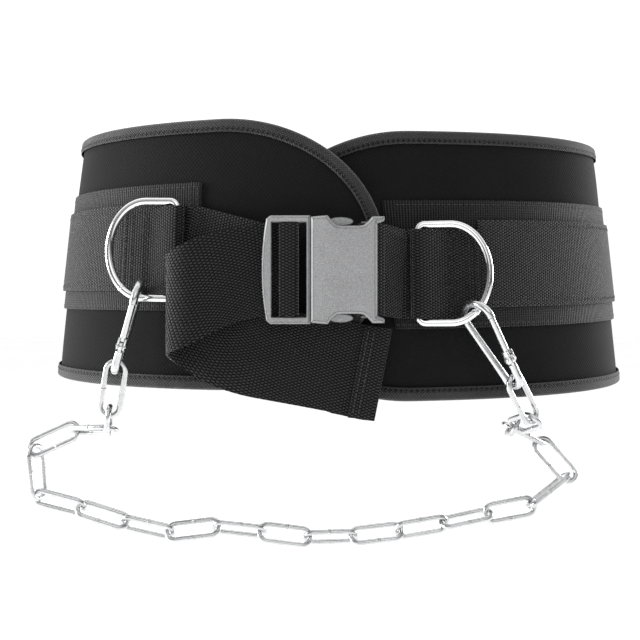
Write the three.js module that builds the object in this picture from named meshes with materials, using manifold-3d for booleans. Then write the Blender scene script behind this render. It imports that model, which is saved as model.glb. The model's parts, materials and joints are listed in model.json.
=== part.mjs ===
// A dip belt: a padded waist belt closed in front, with a buckled strap and a chain between two D-rings.
// Millimetres. X runs to the right, Y away from the front, Z up. The origin is the middle of the waist.
import * as THREE from 'three';
import { mergeVertices } from 'three/addons/utils/BufferGeometryUtils.js';
import Module from 'manifold-3d';

const wasm = await Module();
wasm.setup();

// Fits and clearances
const gap = 0.3;                       // between pieces that lie on each other
const lap_clearance = 0.6;             // between the bindings of the two flaps

// Waist pad
const waist_half_width = 178.5;        // to the middle of the pad's wall
const waist_half_depth = 117;
const waist_fullness = 2.2;            // 2 is an ellipse, more is squarer
const pad_height = 152;
const pad_wall = 5.5;
const flap_round_length = 93;          // length of each rounded flap end
const left_flap_reach = 20;            // the left flap's tip, right of the front's middle
const right_flap_reach = 57;           // the right flap's tip, left of it and behind
const lap_rise = 8;                    // how much higher the left flap rides
const flare_side_deg = 6.1;            // the belt widens downwards
const flare_front_deg = 3.6;
const wall_step = 20;                  // length of one flat facet round the waist

// Binding and sewn bands
const binding_width = 8;
const binding_wall = 1;
const band_wall = 1.5;
const wide_band_height = 73;
const wide_band_lift = 4.5;            // above the pad's middle at the left flap
const wide_band_left_end = 82;         // along the pad, from the front's middle
const wide_band_right_end = 24;
const wide_band_right_slant = 7;       // its right end leans, further out at the bottom
const middle_band_height = 50;

// Webbing, D-rings and their loops
const webbing_width = 50;
const webbing_wall = 1.5;
const ring_wire = 4.6;
const ring_depth = 44;                 // from the outside of the bar to the outside of the bow
const ring_corner = 4;                 // corner radius of the ring's wire
const ring_arm = 18;                   // straight arms before the bow
const ring_lift_deg = 12;              // the ring stands off the belt by this much
const left_ring_reach = 93;            // the ring's bar, along the pad from the front's middle
const right_ring_reach = 39;
const left_ring_height = 5;
const right_ring_height = -8.5;
const loop_length = 36;                // sewn length behind each ring's bar
const strap_sewn_length = 20;          // the straps' ends sewn under the loops

// Buckle
const buckle_x = -13.9;                // the middle of the closed buckle
const buckle_z = -6.5;
const buckle_length = 59.4;
const buckle_height = 58.5;
const buckle_depth = 13;
const buckle_clearance = 2.8;          // behind the buckle's back, where the tail lies
const ladder_length = 23.4;
const ladder_depth = 6;
const ladder_bar = 5.2;                // the bowed left bar
const ladder_bow = 2.8;                // how far that bar bows out
const tuck_bar_width = 7;              // the bar that the strap turns round
const tuck_bar_depth = 3.8;
const body_wall = 2.1;
const ear_length = 3.8;
const scoop_left = 9;                  // side windows, from the body's left edge
const scoop_length = 24;
const scoop_depth = 5.6;
const prong_width = 3.2;
const prong_depth = 5.5;
const button_length = 14;
const tongue_length = 6;               // the ladder's middle tongue, inside the housing
const tongue_width = 24;
const button_place = 7;               // its middle, from the scoop's left end
const anchor_bar_radius = 2.1;         // the body's own bar, that the short strap turns round
const anchor_inset = 6.5;              // that bar, from the body's right edge

// Free tail of the front strap
const tail_reach = 78;                 // the fold's middle, left of the buckle's middle
const tail_fold_radius = 6.5;          // front to back
const tail_fold_length = 12;           // the rounded part of the fold, left to right
const tail_end_reach = 32;             // the hemmed end, right of the buckle's middle
const tail_drop = 58;                  // how far the tail falls below the buckle
const hem_length = 13;
const hem_slant = 0.2;                 // to the right for each millimetre up
const hem_start = 0.84;                // share of the tail's length

// How far the tail has fallen, as a share of tail_drop, by the share of its length
const tail_fall = [
  { share: 0.00, drop: 0.00 },
  { share: 0.21, drop: 0.00 },
  { share: 0.27, drop: 0.04 },
  { share: 0.33, drop: 0.11 },
  { share: 0.37, drop: 0.19 },
  { share: 0.40, drop: 0.27 },
  { share: 0.44, drop: 0.33 },
  { share: 0.49, drop: 0.40 },
  { share: 0.52, drop: 0.50 },
  { share: 0.56, drop: 0.62 },
  { share: 0.59, drop: 0.69 },
  { share: 0.64, drop: 0.76 },
  { share: 0.76, drop: 0.85 },
  { share: 0.86, drop: 0.93 },
  { share: 0.93, drop: 1.00 },
  { share: 1.00, drop: 0.95 },
];

// Snap hooks
const hook_wire = 4.5;
const hook_length = 56;                // over all
const hook_wide = 25;                  // over all, at the ring's end
const hook_narrow = 14.5;              // over all, at the chain's end
const gate_wire = 3.6;
const gate_start = 0.06;               // shares of the straight side that the gate closes
const gate_end = 0.74;
const eye_wall = 2;                    // the flattened eye at the gate's hinge
const eye_radius = 2.9;
const cheek_wall = 1;                  // the gate's two cheeks beside the eye
const pin_radius = 1;
const nose_gap = 0.4;

// Chain
const link_wire = 3.2;
const link_inner_length = 28.8;
const link_inner_width = 7.8;
const link_count = 22;
const link_slack = 0.9;                // play at each joint
const chain_roll_deg = 45;             // how far the middle links are rolled

// Where the chain runs between the two hooks: x and y in mm, drop as a share of how deep it hangs.
const chain_route = [
  { x: -135, y: -115, drop: 0.25 },
  { x: -139, y: -92, drop: 0.36 },
  { x: -162, y: -80, drop: 0.38 },
  { x: -188, y: -80, drop: 0.48 },
  { x: -188, y: -80, drop: 0.74 },
  { x: -161, y: -80, drop: 0.82 },
  { x: -105, y: -80, drop: 0.96 },
  { x: -77, y: -79, drop: 0.93 },
  { x: -19, y: -76, drop: 1.00 },
  { x: 40, y: -73, drop: 0.96 },
  { x: 96, y: -68, drop: 0.87 },
  { x: 125, y: -66, drop: 0.81 },
  { x: 141, y: -64, drop: 0.63 },
  { x: 118, y: -54, drop: 0.46 },
  { x: 102, y: -68, drop: 0.38 },
  { x: 101, y: -94, drop: 0.34 },
  { x: 105, y: -120, drop: 0.26 },
];

const radians = THREE.MathUtils.degToRad;
const up = new THREE.Vector3(0, 0, 1);
const dipBelt = new THREE.Group();

// Materials
function finish(color, roughness, metalness) {
  return new THREE.MeshStandardMaterial({ color, roughness, metalness });
}
const neoprene = () => finish(0x1c1c1e, 0.95, 0);
const bindingTape = () => finish(0x3c3d40, 0.85, 0);
const ribbedBand = () => finish(0x2e2e31, 0.9, 0);
const coarseBand = () => finish(0x37373a, 0.9, 0);
const webbing = () => finish(0x29292b, 0.9, 0);
const greyPlastic = () => finish(0x77787b, 0.45, 0.1);
const chrome = () => finish(0xe6e6e8, 0.12, 1);
const zinc = () => finish(0xc8c9cb, 0.3, 1);

function addPiece(name, geometry, material) {
  const mesh = new THREE.Mesh(geometry, material);
  mesh.name = name;
  dipBelt.add(mesh);
  return mesh;
}

function weld(geometry) {
  geometry.deleteAttribute('uv');
  geometry.deleteAttribute('normal');
  return mergeVertices(geometry, 1e-4);
}

// Solid joins and cuts
function toSolid(geometry) {
  const welded = weld(geometry);
  return new wasm.Manifold(new wasm.Mesh({
    numProp: 3,
    vertProperties: new Float32Array(welded.attributes.position.array),
    triVerts: new Uint32Array(welded.index.array),
  }));
}

function fromSolid(solid) {
  const mesh = solid.getMesh();
  const geometry = new THREE.BufferGeometry();
  geometry.setAttribute('position', new THREE.BufferAttribute(new Float32Array(mesh.vertProperties), 3));
  geometry.setIndex(new THREE.BufferAttribute(new Uint32Array(mesh.triVerts), 1));
  return geometry;
}

// The waist's plan, from the front's middle round by the left side
class WaistCurve extends THREE.Curve {
  getPoint(t, target = new THREE.Vector3()) {
    const angle = 2 * Math.PI * t;
    const power = 2 / waist_fullness;
    const across = Math.sign(Math.sin(angle)) * Math.abs(Math.sin(angle)) ** power;
    const along = Math.sign(Math.cos(angle)) * Math.abs(Math.cos(angle)) ** power;
    return target.set(-waist_half_width * across, -waist_half_depth * along, 0);
  }
}
const waist = new WaistCurve();
waist.arcLengthDivisions = 2000;
const waist_length = waist.getLength();
const pad_start = -left_flap_reach;
const pad_end = waist_length + right_flap_reach;
const pad_length = pad_end - pad_start;
const lap_step = pad_wall + 2 * (gap + binding_wall) + lap_clearance;

function padRise(along) {
  return (0.5 - (along - pad_start) / pad_length) * lap_rise;
}

// A place on the pad: along the waist, height over the pad's own middle, and distance out of its wall
function onPad(along, height, out) {
  const turn = THREE.MathUtils.euclideanModulo(along / waist_length, 1);
  const foot = waist.getPointAt(turn);
  const ahead = waist.getPointAt((turn + 0.002) % 1);
  const behind = waist.getPointAt((turn + 0.998) % 1);
  const outward = ahead.sub(behind).cross(up).normalize().negate();
  const share = 0.5 - (along - pad_start) / pad_length;
  const winding = share * lap_step * pad_length / waist_length;
  const flare = Math.tan(radians(flare_side_deg)) * outward.x ** 2
    + Math.tan(radians(flare_front_deg)) * outward.y ** 2;
  foot.addScaledVector(outward, out + winding - height * flare);
  foot.z = padRise(along) + height;
  return foot;
}

// The pad's half height, less in its rounded ends
function halfHeight(along) {
  const fromEnd = Math.min(along - pad_start, pad_end - along);
  const cut = THREE.MathUtils.clamp((flap_round_length - fromEnd) / flap_round_length, 0, 1);
  return pad_height / 2 * Math.sqrt(1 - cut * cut);
}

// Every layer has its facets at the same places round the waist, so that they lie on each other
function wallStations(from, to) {
  const stations = [from];
  for (let along = Math.ceil(from / wall_step) * wall_step; along < to; along += wall_step) {
    if (along - from > 1 && to - along > 1) stations.push(along);
  }
  stations.push(to);
  return stations;
}

// A box of many slices: each corner is put where place says, by slice number, across and through shares
function slicedBox(slices, rows, place) {
  const box = new THREE.BoxGeometry(1, 1, 1, slices - 1, rows, 1);
  const points = box.attributes.position;
  for (let i = 0; i < points.count; i += 1) {
    const slice = Math.round((0.5 - points.getX(i)) * (slices - 1));
    const spot = place(slice, points.getY(i), points.getZ(i));
    points.setXYZ(i, spot.x, spot.y, spot.z);
  }
  return weld(box);
}

// A ring of slices that closes on itself: each corner is put by slice number and profile corner number
function slicedRing(slices, corners, place) {
  const ring = new THREE.TorusGeometry(2, 1, corners, slices);
  const points = ring.attributes.position;
  const shares = ring.attributes.uv;
  for (let i = 0; i < points.count; i += 1) {
    const slice = Math.round(shares.getX(i) * slices) % slices;
    const corner = Math.round(shares.getY(i) * corners) % corners;
    const spot = place(slice, corner);
    points.setXYZ(i, spot.x, spot.y, spot.z);
  }
  return weld(ring);
}

// Waist pad
const round_steps = 10;
const pad_rows = 4;
const band_rows = 2;
function padStations() {
  const stations = [];
  for (let i = 1; i < round_steps; i += 1) {
    const angle = radians(90 * (1 - i / round_steps));
    stations.push(pad_start + flap_round_length * (1 - Math.sin(angle)));
  }
  const straight = wallStations(pad_start + flap_round_length, pad_end - flap_round_length);
  const mirrored = stations.map((along) => pad_start + pad_end - along).reverse();
  return [...stations, ...straight, ...mirrored];
}

function waistPad() {
  const stations = padStations();
  const place = (slice, across, through) => {
    const along = stations[slice];
    return onPad(along, 2 * across * halfHeight(along), through * pad_wall);
  };
  return slicedBox(stations.length, pad_rows, place);
}
addPiece('belt_wrap', waistPad(), neoprene());

// The pad's outline, all the way round, with the direction that points out of it
function padOutline() {
  const outline = [];
  const addRound = (middle, fromAngle) => {
    for (let i = 0; i <= 2 * round_steps; i += 1) {
      const angle = radians(fromAngle + 90 * i / round_steps);
      const along = middle + flap_round_length * Math.cos(angle);
      const lean = new THREE.Vector2(Math.cos(angle) / flap_round_length, Math.sin(angle) * 2 / pad_height);
      outline.push({ along, height: pad_height / 2 * Math.sin(angle), normal: lean.normalize() });
    }
  };
  const straight = wallStations(pad_start + flap_round_length, pad_end - flap_round_length).slice(1, -1);
  addRound(pad_end - flap_round_length, -90);
  for (const along of [...straight].reverse()) {
    outline.push({ along, height: pad_height / 2, normal: new THREE.Vector2(0, 1) });
  }
  addRound(pad_start + flap_round_length, 90);
  for (const along of straight) {
    outline.push({ along, height: -pad_height / 2, normal: new THREE.Vector2(0, -1) });
  }
  return outline;
}

// Binding: a folded tape with a U section over the pad's edge
function edgeBinding() {
  const outline = padOutline();
  const inner = pad_wall / 2 + gap;
  const outer = inner + binding_wall;
  const over = gap + binding_wall;
  const profile = [
    { edge: over - binding_width, out: -outer },
    { edge: over - binding_width, out: -inner },
    { edge: gap, out: -inner },
    { edge: gap, out: inner },
    { edge: over - binding_width, out: inner },
    { edge: over - binding_width, out: outer },
    { edge: over, out: outer },
    { edge: over, out: -outer },
  ];
  const place = (slice, corner) => {
    const { along, height, normal } = outline[slice];
    const { edge, out } = profile[corner];
    return onPad(along + normal.x * edge, height + normal.y * edge, out);
  };
  return slicedRing(outline.length, profile.length, place);
}
addPiece('edge_binding', edgeBinding(), bindingTape());

// Sewn bands: the middle of each follows the wide band's height
const band_out = pad_wall / 2 + gap + band_wall / 2;
const over_band_out = band_out + band_wall + gap;
const left_loop_end = left_ring_reach + loop_length;
const right_loop_end = waist_length - right_ring_reach - loop_length;
const wide_band_end = waist_length - wide_band_right_end;

function bandMiddle(along) {
  return wide_band_lift * (1 - along / waist_length);
}

function sewnBand(from, to, height, out, endSlant) {
  const stations = wallStations(from, to);
  const place = (slice, across, through) => {
    const slant = slice === stations.length - 1 ? endSlant * across : 0;
    const along = stations[slice] + slant;
    return onPad(along, bandMiddle(along) + across * height, out + through * band_wall);
  };
  return slicedBox(stations.length, band_rows, place);
}
function wideBand() {
  return sewnBand(wide_band_left_end, wide_band_end, wide_band_height, band_out, wide_band_right_slant);
}
addPiece('wide_band', wideBand(), ribbedBand());
const middleFrom = left_loop_end + 2 * gap;
const middleTo = right_loop_end - 2 * gap;
addPiece('middle_band', sewnBand(middleFrom, middleTo, middle_band_height, over_band_out, 0), coarseBand());

// A flat webbing through a row of stations: each has a point on its middle line and, where it is sewn
// on the pad, the pad's lean (how far it moves for each millimetre up). Where the webbing falls, its
// edges stay square to its run, so they lie further on or back along the same path. At a hem it turns
// back on itself, and there its lean alone says how it slants
function webbingThrough(stations) {
  const last = stations.length - 1;
  const marks = [0];
  for (let i = 1; i <= last; i += 1) {
    const step = stations[i].point.clone().sub(stations[i - 1].point);
    marks.push(marks[i - 1] + Math.hypot(step.x, step.y));
  }
  const frames = stations.map((station, i) => {
    const before = stations[Math.max(i - 1, 0)].point;
    const after = stations[Math.min(i + 1, last)].point;
    const inward = station.point.clone().sub(before).setZ(0).normalize();
    const onward = after.clone().sub(station.point).setZ(0).normalize();
    const heading = inward.clone().add(onward).normalize();
    const side = new THREE.Vector3().crossVectors(up, heading);
    const mitre = 1 / Math.max(heading.dot(i === 0 ? onward : inward), 0.5);
    const run = marks[Math.min(i + 1, last)] - marks[Math.max(i - 1, 0)];
    const fall = station.hemmed ? 0 : Math.atan2(after.z - before.z, run);
    return { heading, side: side.multiplyScalar(mitre), fall, lean: station.lean ?? new THREE.Vector3() };
  });
  const readAt = (mark) => {
    const found = marks.findIndex((value) => value > mark);
    const next = THREE.MathUtils.clamp(found < 0 ? last : found, 1, last);
    const part = (mark - marks[next - 1]) / (marks[next] - marks[next - 1]);
    const point = stations[next - 1].point.clone().lerp(stations[next].point, part);
    const share = THREE.MathUtils.clamp(part, 0, 1);
    return { point, side: frames[next - 1].side.clone().lerp(frames[next].side, share) };
  };
  const place = (slice, acrossShare, throughShare) => {
    const { fall, lean } = frames[slice];
    const across = acrossShare * webbing_width;
    const { point, side } = readAt(marks[slice] - across * Math.sin(fall));
    point.z = stations[slice].point.z + across * Math.cos(fall);
    return point.addScaledVector(lean, across).addScaledVector(side, throughShare * webbing_wall);
  };
  return slicedBox(stations.length, 1, place);
}

// A station of a webbing sewn on the pad, its middle at a height in the belt's own frame
function sewnStation(along, out, middle) {
  const height = middle - padRise(along);
  const point = onPad(along, height, out);
  const lean = onPad(along, height + 1, out).sub(point).sub(up);
  return { point, lean };
}

// Layers over the pad at the rings: wide band, strap, inner leg of the loop, outer leg
const strap_out = over_band_out;
const loop_inner_out = strap_out + webbing_wall + gap;
const loop_outer_out = loop_inner_out + webbing_wall + gap;
const ring_out = loop_inner_out + webbing_wall / 2 + gap + ring_wire / 2;
const loop_turn = ring_wire / 2 + gap + webbing_wall / 2;
const left_bar = left_ring_reach;
const right_bar = waist_length - right_ring_reach;

function ringLoop(barAlong, away, middle) {
  const endAlong = barAlong + away * loop_length;
  const stations = [];
  const add = (along, out) => stations.push(sewnStation(along, out, middle));
  add(endAlong, loop_inner_out);
  add(barAlong + away * loop_length / 2, loop_inner_out);
  for (let angle = -90; angle <= 90; angle += 30) {
    const swing = radians(angle);
    add(barAlong - away * loop_turn * Math.cos(swing), ring_out + loop_turn * Math.sin(swing));
  }
  add(barAlong + away * ring_wire, ring_out + loop_turn * 0.85);
  add(barAlong + away * loop_length / 2, loop_outer_out);
  add(endAlong, loop_outer_out);
  return webbingThrough(stations);
}

// The D: a straight bar at x = 0, two arms and a half-elliptic bow, counter-clockwise
const ring_half = webbing_width / 2 + gap + ring_wire / 2;
const ring_bow_length = ring_depth - ring_wire - ring_arm;
function ringBow(angle) {
  const swing = radians(angle);
  return new THREE.Vector2(ring_arm + ring_bow_length * Math.cos(swing), ring_half * Math.sin(swing));
}

function ringWireLine() {
  const line = [];
  const addCorner = (side, from) => {
    for (let angle = from; angle <= from + 90; angle += 30) {
      const swing = radians(angle);
      const x = ring_corner * (1 + Math.cos(swing));
      line.push(new THREE.Vector2(x, side * (ring_half - ring_corner) + ring_corner * Math.sin(swing)));
    }
  };
  addCorner(-1, 180);
  for (let angle = -90; angle <= 90; angle += 18) line.push(ringBow(angle));
  addCorner(1, 90);
  return line;
}

// A round wire along a closed flat line in the XY plane
function wireRing(line, wire, sides) {
  const count = line.length;
  const place = (slice, corner) => {
    const before = line[(slice + count - 1) % count];
    const after = line[(slice + 1) % count];
    const here = line[slice];
    const inward = here.clone().sub(before).normalize();
    const heading = inward.clone().add(after.clone().sub(here).normalize()).normalize();
    const mitre = 1 / heading.dot(inward);
    const swing = 2 * Math.PI * corner / sides;
    const out = wire / 2 * Math.cos(swing) * mitre;
    const rise = wire / 2 * Math.sin(swing);
    return new THREE.Vector3(here.x + heading.y * out, here.y - heading.x * out, rise);
  };
  return slicedRing(count, sides, place);
}

// Where a ring lies: x from its bar to its bow, y up along the bar
function ringSeat(barAlong, away, middle) {
  const bar = sewnStation(barAlong, ring_out, middle);
  const toBow = sewnStation(barAlong + away, ring_out, middle).point.sub(bar.point).setZ(0).normalize();
  const y = up.clone().add(bar.lean).normalize();
  const outward = new THREE.Vector3().crossVectors(toBow, y).multiplyScalar(-away).normalize();
  const lift = radians(ring_lift_deg);
  const x = toBow.multiplyScalar(Math.cos(lift)).addScaledVector(outward, Math.sin(lift));
  const z = new THREE.Vector3().crossVectors(x, y).normalize();
  return new THREE.Matrix4().makeBasis(x.crossVectors(y, z), y, z).setPosition(bar.point);
}

const leftSeat = ringSeat(left_bar, 1, left_ring_height);
const rightSeat = ringSeat(right_bar, -1, right_ring_height);
const ring_sides = 6;
addPiece('ring_loop_left', ringLoop(left_bar, 1, left_ring_height), webbing());
addPiece('ring_loop_right', ringLoop(right_bar, -1, right_ring_height), webbing());
addPiece('d_ring_left', wireRing(ringWireLine(), ring_wire, ring_sides), chrome()).applyMatrix4(leftSeat);
addPiece('d_ring_right', wireRing(ringWireLine(), ring_wire, ring_sides), chrome()).applyMatrix4(rightSeat);

// Buckle: its two parts are plates drawn in X and Z, set in front of the pad's binding
const half_buckle = buckle_height / 2;
const binding_front = onPad(0, buckle_z - half_buckle, pad_wall / 2 + gap + binding_wall).y;
const buckle_back_y = binding_front - buckle_clearance;
const buckle_middle_y = buckle_back_y - buckle_depth / 2;
const ladder_left = buckle_x - buckle_length / 2;
const ladder_right = ladder_left + ladder_length;
const body_left = ladder_right + gap;
const body_right = buckle_x + buckle_length / 2;
const ladder_back_y = buckle_middle_y + ladder_depth / 2 - 1.5;
const half_window = webbing_width / 2 + 2 * gap;

// A plate between two depths, its outline given as the upper half from left to right
function buckleSolid(upperLine, frontY, backY, bevel) {
  const shape = new THREE.Shape();
  const lower = upperLine.map(([x, height]) => new THREE.Vector2(x, buckle_z - height));
  const upper = upperLine.map(([x, height]) => new THREE.Vector2(x, buckle_z + height)).reverse();
  shape.setFromPoints([...lower, ...upper]);
  const geometry = new THREE.ExtrudeGeometry(shape, {
    depth: backY - frontY - 2 * bevel,
    bevelEnabled: bevel > 0,
    bevelThickness: bevel,
    bevelSize: bevel,
    bevelOffset: -bevel,
    bevelSegments: 1,
  });
  geometry.rotateX(Math.PI / 2).translate(0, backY - bevel, 0);
  return toSolid(geometry);
}

function block(x0, x1, y0, y1, z0, z1) {
  const box = new THREE.BoxGeometry(x1 - x0, y1 - y0, z1 - z0);
  return toSolid(box.translate((x0 + x1) / 2, (y0 + y1) / 2, (z0 + z1) / 2));
}

// A block about the buckle's middle, by its half depth and half height
function cavity(x0, x1, halfDepth, halfHigh) {
  const front = buckle_middle_y - halfDepth;
  const back = buckle_middle_y + halfDepth;
  return block(x0, x1, front, back, buckle_z - halfHigh, buckle_z + halfHigh);
}

// An upright round or flat bar of the buckle, as high as the window and into its sides
const bar_height = 2 * half_window + 1;
function uprightBar(x, y, width, depth) {
  const bar = new THREE.CylinderGeometry(0.5, 0.5, bar_height, 12);
  bar.rotateX(Math.PI / 2).scale(width, depth, 1);
  return toSolid(bar.translate(x, y, buckle_z));
}

// The two prongs and their buttons, made larger all round where the housing makes room for them
function addProngs(solid, room) {
  const wide = prong_width / 2 + room;
  const deep = prong_depth / 2 + room;
  const buttonX = scoop_x + button_place;
  let joined = solid;
  for (const side of [-1, 1]) {
    const middle = buckle_z + side * prong_height;
    const front = buckle_middle_y - deep;
    const back = buckle_middle_y + deep;
    const arm = block(ladder_right - 1, buttonX, front, back, middle - wide, middle + wide);
    const button = new THREE.CylinderGeometry(0.5, 0.5, 2 * deep, 14);
    button.scale(button_length + 2 * room, 1, prong_width + 1.6 + 2 * room);
    button.translate(buttonX, buckle_middle_y, middle + side * 0.5);
    joined = joined.add(arm).add(toSolid(button));
  }
  return joined;
}

const scoop_x = body_left + scoop_left;
const scoop_floor = half_buckle - scoop_depth;
const scoop_end = scoop_x + scoop_length;
const prong_height = half_buckle - body_wall - prong_width / 2;
const anchor_x = body_right - anchor_inset;
const anchor_turn = anchor_bar_radius + gap + webbing_wall / 2;

// Housing: a shell with a scoop in each long side, two ears and a cavity from each end
function buckleBody() {
  const outline = [
    [body_left, half_buckle - 0.8],
    [scoop_x, half_buckle],
  ];
  for (let share = 0.1; share < 0.95; share += 0.1) {
    const dip = Math.min(1, 1.35 * Math.sin(Math.PI * share) ** 0.7);
    outline.push([scoop_x + share * scoop_length, half_buckle - scoop_depth * dip]);
  }
  outline.push([scoop_end, half_buckle - 0.6]);
  outline.push([body_right + ear_length, half_buckle - 0.6]);
  outline.push([body_right + ear_length, half_buckle - 3]);
  outline.push([body_right, half_buckle - 4.5]);
  const shell = buckleSolid(outline, buckle_middle_y - buckle_depth / 2, buckle_back_y, 1.4);
  const half_mouth = anchor_turn + webbing_wall / 2 + gap;
  const mouthLeft = anchor_x - half_mouth;
  const mouthRight = body_right + 2 * ear_length;
  const mouth = cavity(mouthLeft, mouthRight, half_mouth, half_window);
  const roomRight = mouthLeft - body_wall;
  const tongueRoom = cavity(body_left - 1, roomRight, prong_depth / 2 + gap, scoop_floor - body_wall);
  const barWide = 2 * anchor_bar_radius;
  const anchorBar = uprightBar(anchor_x, buckle_middle_y, barWide, barWide);
  return fromSolid(shell.subtract(addProngs(mouth.add(tongueRoom), gap)).add(anchorBar));
}
addPiece('buckle_body', buckleBody(), greyPlastic());

const window_left = ladder_left - ladder_bow + ladder_bar;
const window_right = ladder_right - body_wall;
const tuck_bar_x = (window_left + window_right) / 2;
const tuck_bar_y = ladder_back_y - ladder_depth + 1 + tuck_bar_depth / 2;

// Ladder frame with its bar, its tongue and the two sprung prongs with their buttons
function buckleFrame() {
  const outline = [];
  for (const share of [0.2, 0.4, 0.6, 0.8, 0.94]) {
    outline.push([ladder_left - ladder_bow * (1 - share ** 2), share * half_buckle]);
  }
  outline.push([ladder_left + 2, half_buckle]);
  outline.push([ladder_right, half_buckle]);
  const frontY = ladder_back_y - ladder_depth;
  const plateSolid = buckleSolid(outline, frontY, ladder_back_y, 1);
  const window = block(window_left, window_right, frontY - 1, ladder_back_y + 1,
    buckle_z - half_window, buckle_z + half_window);
  const tuckBar = uprightBar(tuck_bar_x, tuck_bar_y, tuck_bar_width, tuck_bar_depth);
  const tongue = cavity(ladder_right - 1, ladder_right + tongue_length, prong_depth / 2, tongue_width / 2);
  return fromSolid(addProngs(plateSolid.subtract(window).add(tuckBar).add(tongue), 0));
}
addPiece('buckle_frame', buckleFrame(), greyPlastic());

// Where two rows of a table meet, the value is read off the line between them
function readTable(rows, share) {
  const next = rows.findIndex((row, i) => i > 0 && share <= row.share);
  const upper = rows[next < 0 ? rows.length - 1 : next];
  const lower = rows[(next < 0 ? rows.length - 1 : next) - 1];
  const part = THREE.MathUtils.clamp((share - lower.share) / (upper.share - lower.share), 0, 1);
  return THREE.MathUtils.lerp(lower.drop, upper.drop, part);
}

// Stations along a plan path, without its doubled points, each with the distance travelled to it
function stationsOf(path) {
  const stations = [];
  let travelled = 0;
  path.getPoints(3).forEach((spot, i, spots) => {
    const step = i > 0 ? spot.distanceTo(spots[i - 1]) : Infinity;
    if (i > 0) travelled += step;
    if (step > 0.05) stations.push({ point: new THREE.Vector3(spot.x, spot.y, buckle_z), travelled });
  });
  return stations;
}

// Front strap: sewn under the left loop, then behind the ladder, over its bar, back and round as the tail
const bar_turn = gap + webbing_wall / 2;
const tail_y = ladder_back_y + bar_turn;
const load_y = tail_y + webbing_wall + gap;
const tuck_left = tuck_bar_x - tuck_bar_width / 2 - bar_turn;
const tuck_right = tuck_bar_x + tuck_bar_width / 2 + bar_turn;
const tuck_front = tuck_bar_y - tuck_bar_depth / 2 - bar_turn;
const tail_rest_height = buckle_z - 0.85 * tail_drop;
const rest_binding = onPad(0, tail_rest_height, pad_wall / 2 + gap + binding_wall).y;
const tail_rest = rest_binding - bar_turn - 3 * gap;
const tuck_round = 1.2;
const front_lean = new THREE.Vector3(0, Math.tan(radians(flare_front_deg)), 0);
const hem_lean = front_lean.clone().setX(hem_slant);

function frontStrap() {
  const sewn = [];
  for (let along = left_bar + strap_sewn_length; along > left_bar - 2 * ring_wire; along -= ring_wire) {
    sewn.push(sewnStation(along, strap_out, left_ring_height));
  }
  const path = new THREE.Path();
  path.moveTo(window_left - ladder_bar, load_y);
  path.lineTo(tuck_right - tuck_round, load_y);
  path.absarc(tuck_right - tuck_round, load_y - tuck_round, tuck_round, Math.PI / 2, 0, true);
  path.absarc(tuck_right - tuck_round, tuck_front + tuck_round, tuck_round, 0, -Math.PI / 2, true);
  path.absarc(tuck_left + tuck_round, tuck_front + tuck_round, tuck_round, -Math.PI / 2, -Math.PI, true);
  path.absarc(tuck_left - tuck_round, tail_y - tuck_round, tuck_round, 0, Math.PI / 2, false);
  const foldX = buckle_x - tail_reach + tail_fold_length - tail_fold_radius;
  path.lineTo(window_left - ladder_bar, tail_y);
  path.lineTo(buckle_x - 0.66 * tail_reach, tail_y - tail_fold_radius / 2);
  path.absellipse(foldX, tail_y, tail_fold_length, tail_fold_radius, -Math.PI / 2, Math.PI / 2, true);
  path.lineTo(buckle_x - 0.75 * tail_reach, (tail_y + tail_fold_radius + tail_rest) / 2);
  path.lineTo(buckle_x - 0.4 * tail_reach, tail_rest);
  path.lineTo(buckle_x, tail_rest);
  const endX = buckle_x + tail_end_reach;
  const hem_turn = (webbing_wall + gap) / 2;
  path.lineTo(endX - hem_length, tail_rest);
  path.absarc(endX, tail_rest - hem_turn, hem_turn, Math.PI / 2, -Math.PI / 2, true);
  path.lineTo(endX - hem_length, tail_rest - 2 * hem_turn);
  const free = stationsOf(path);
  const length = free.at(-1).travelled;
  for (const station of free) {
    const share = station.travelled / length;
    station.point.z -= tail_drop * readTable(tail_fall, share);
    station.hemmed = share > hem_start;
    if (share > 0.5) station.lean = station.hemmed ? hem_lean : front_lean;
  }
  return webbingThrough([...sewn, ...free]);
}
addPiece('front_strap', frontStrap(), webbing());

// Short strap: sewn under the right loop, then round the housing's own bar and back on itself
function buckleStrap() {
  const sewn = [];
  for (let along = right_bar - strap_sewn_length; along < right_bar + 2 * ring_wire; along += ring_wire) {
    sewn.push(sewnStation(along, strap_out, right_ring_height));
  }
  const path = new THREE.Path();
  const innerY = buckle_middle_y + anchor_turn;
  const outerY = buckle_middle_y - anchor_turn;
  path.moveTo(body_right + ear_length, innerY);
  path.lineTo(body_right, innerY);
  path.lineTo(anchor_x, innerY);
  for (let angle = 120; angle < 270; angle += 30) {
    const swing = radians(angle);
    path.lineTo(anchor_x + anchor_turn * Math.cos(swing), buckle_middle_y + anchor_turn * Math.sin(swing));
  }
  path.lineTo(anchor_x, outerY);
  path.lineTo(body_right, outerY);
  path.lineTo(body_right + ear_length, (outerY + buckle_middle_y) / 2);
  return webbingThrough([...sewn, ...stationsOf(path)]);
}
addPiece('buckle_strap', buckleStrap(), webbing());

// Snap hooks, each drawn in its own XY plane: the ring's end up, the gate on the side of +X
const hook_top_radius = (hook_wide - hook_wire) / 2;
const hook_low_radius = (hook_narrow - hook_wire) / 2;
const hook_span = hook_length - hook_wire - hook_top_radius - hook_low_radius;
const hook_slope = Math.asin((hook_top_radius - hook_low_radius) / hook_span);
const hook_low = new THREE.Vector2(0, -hook_span);

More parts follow.
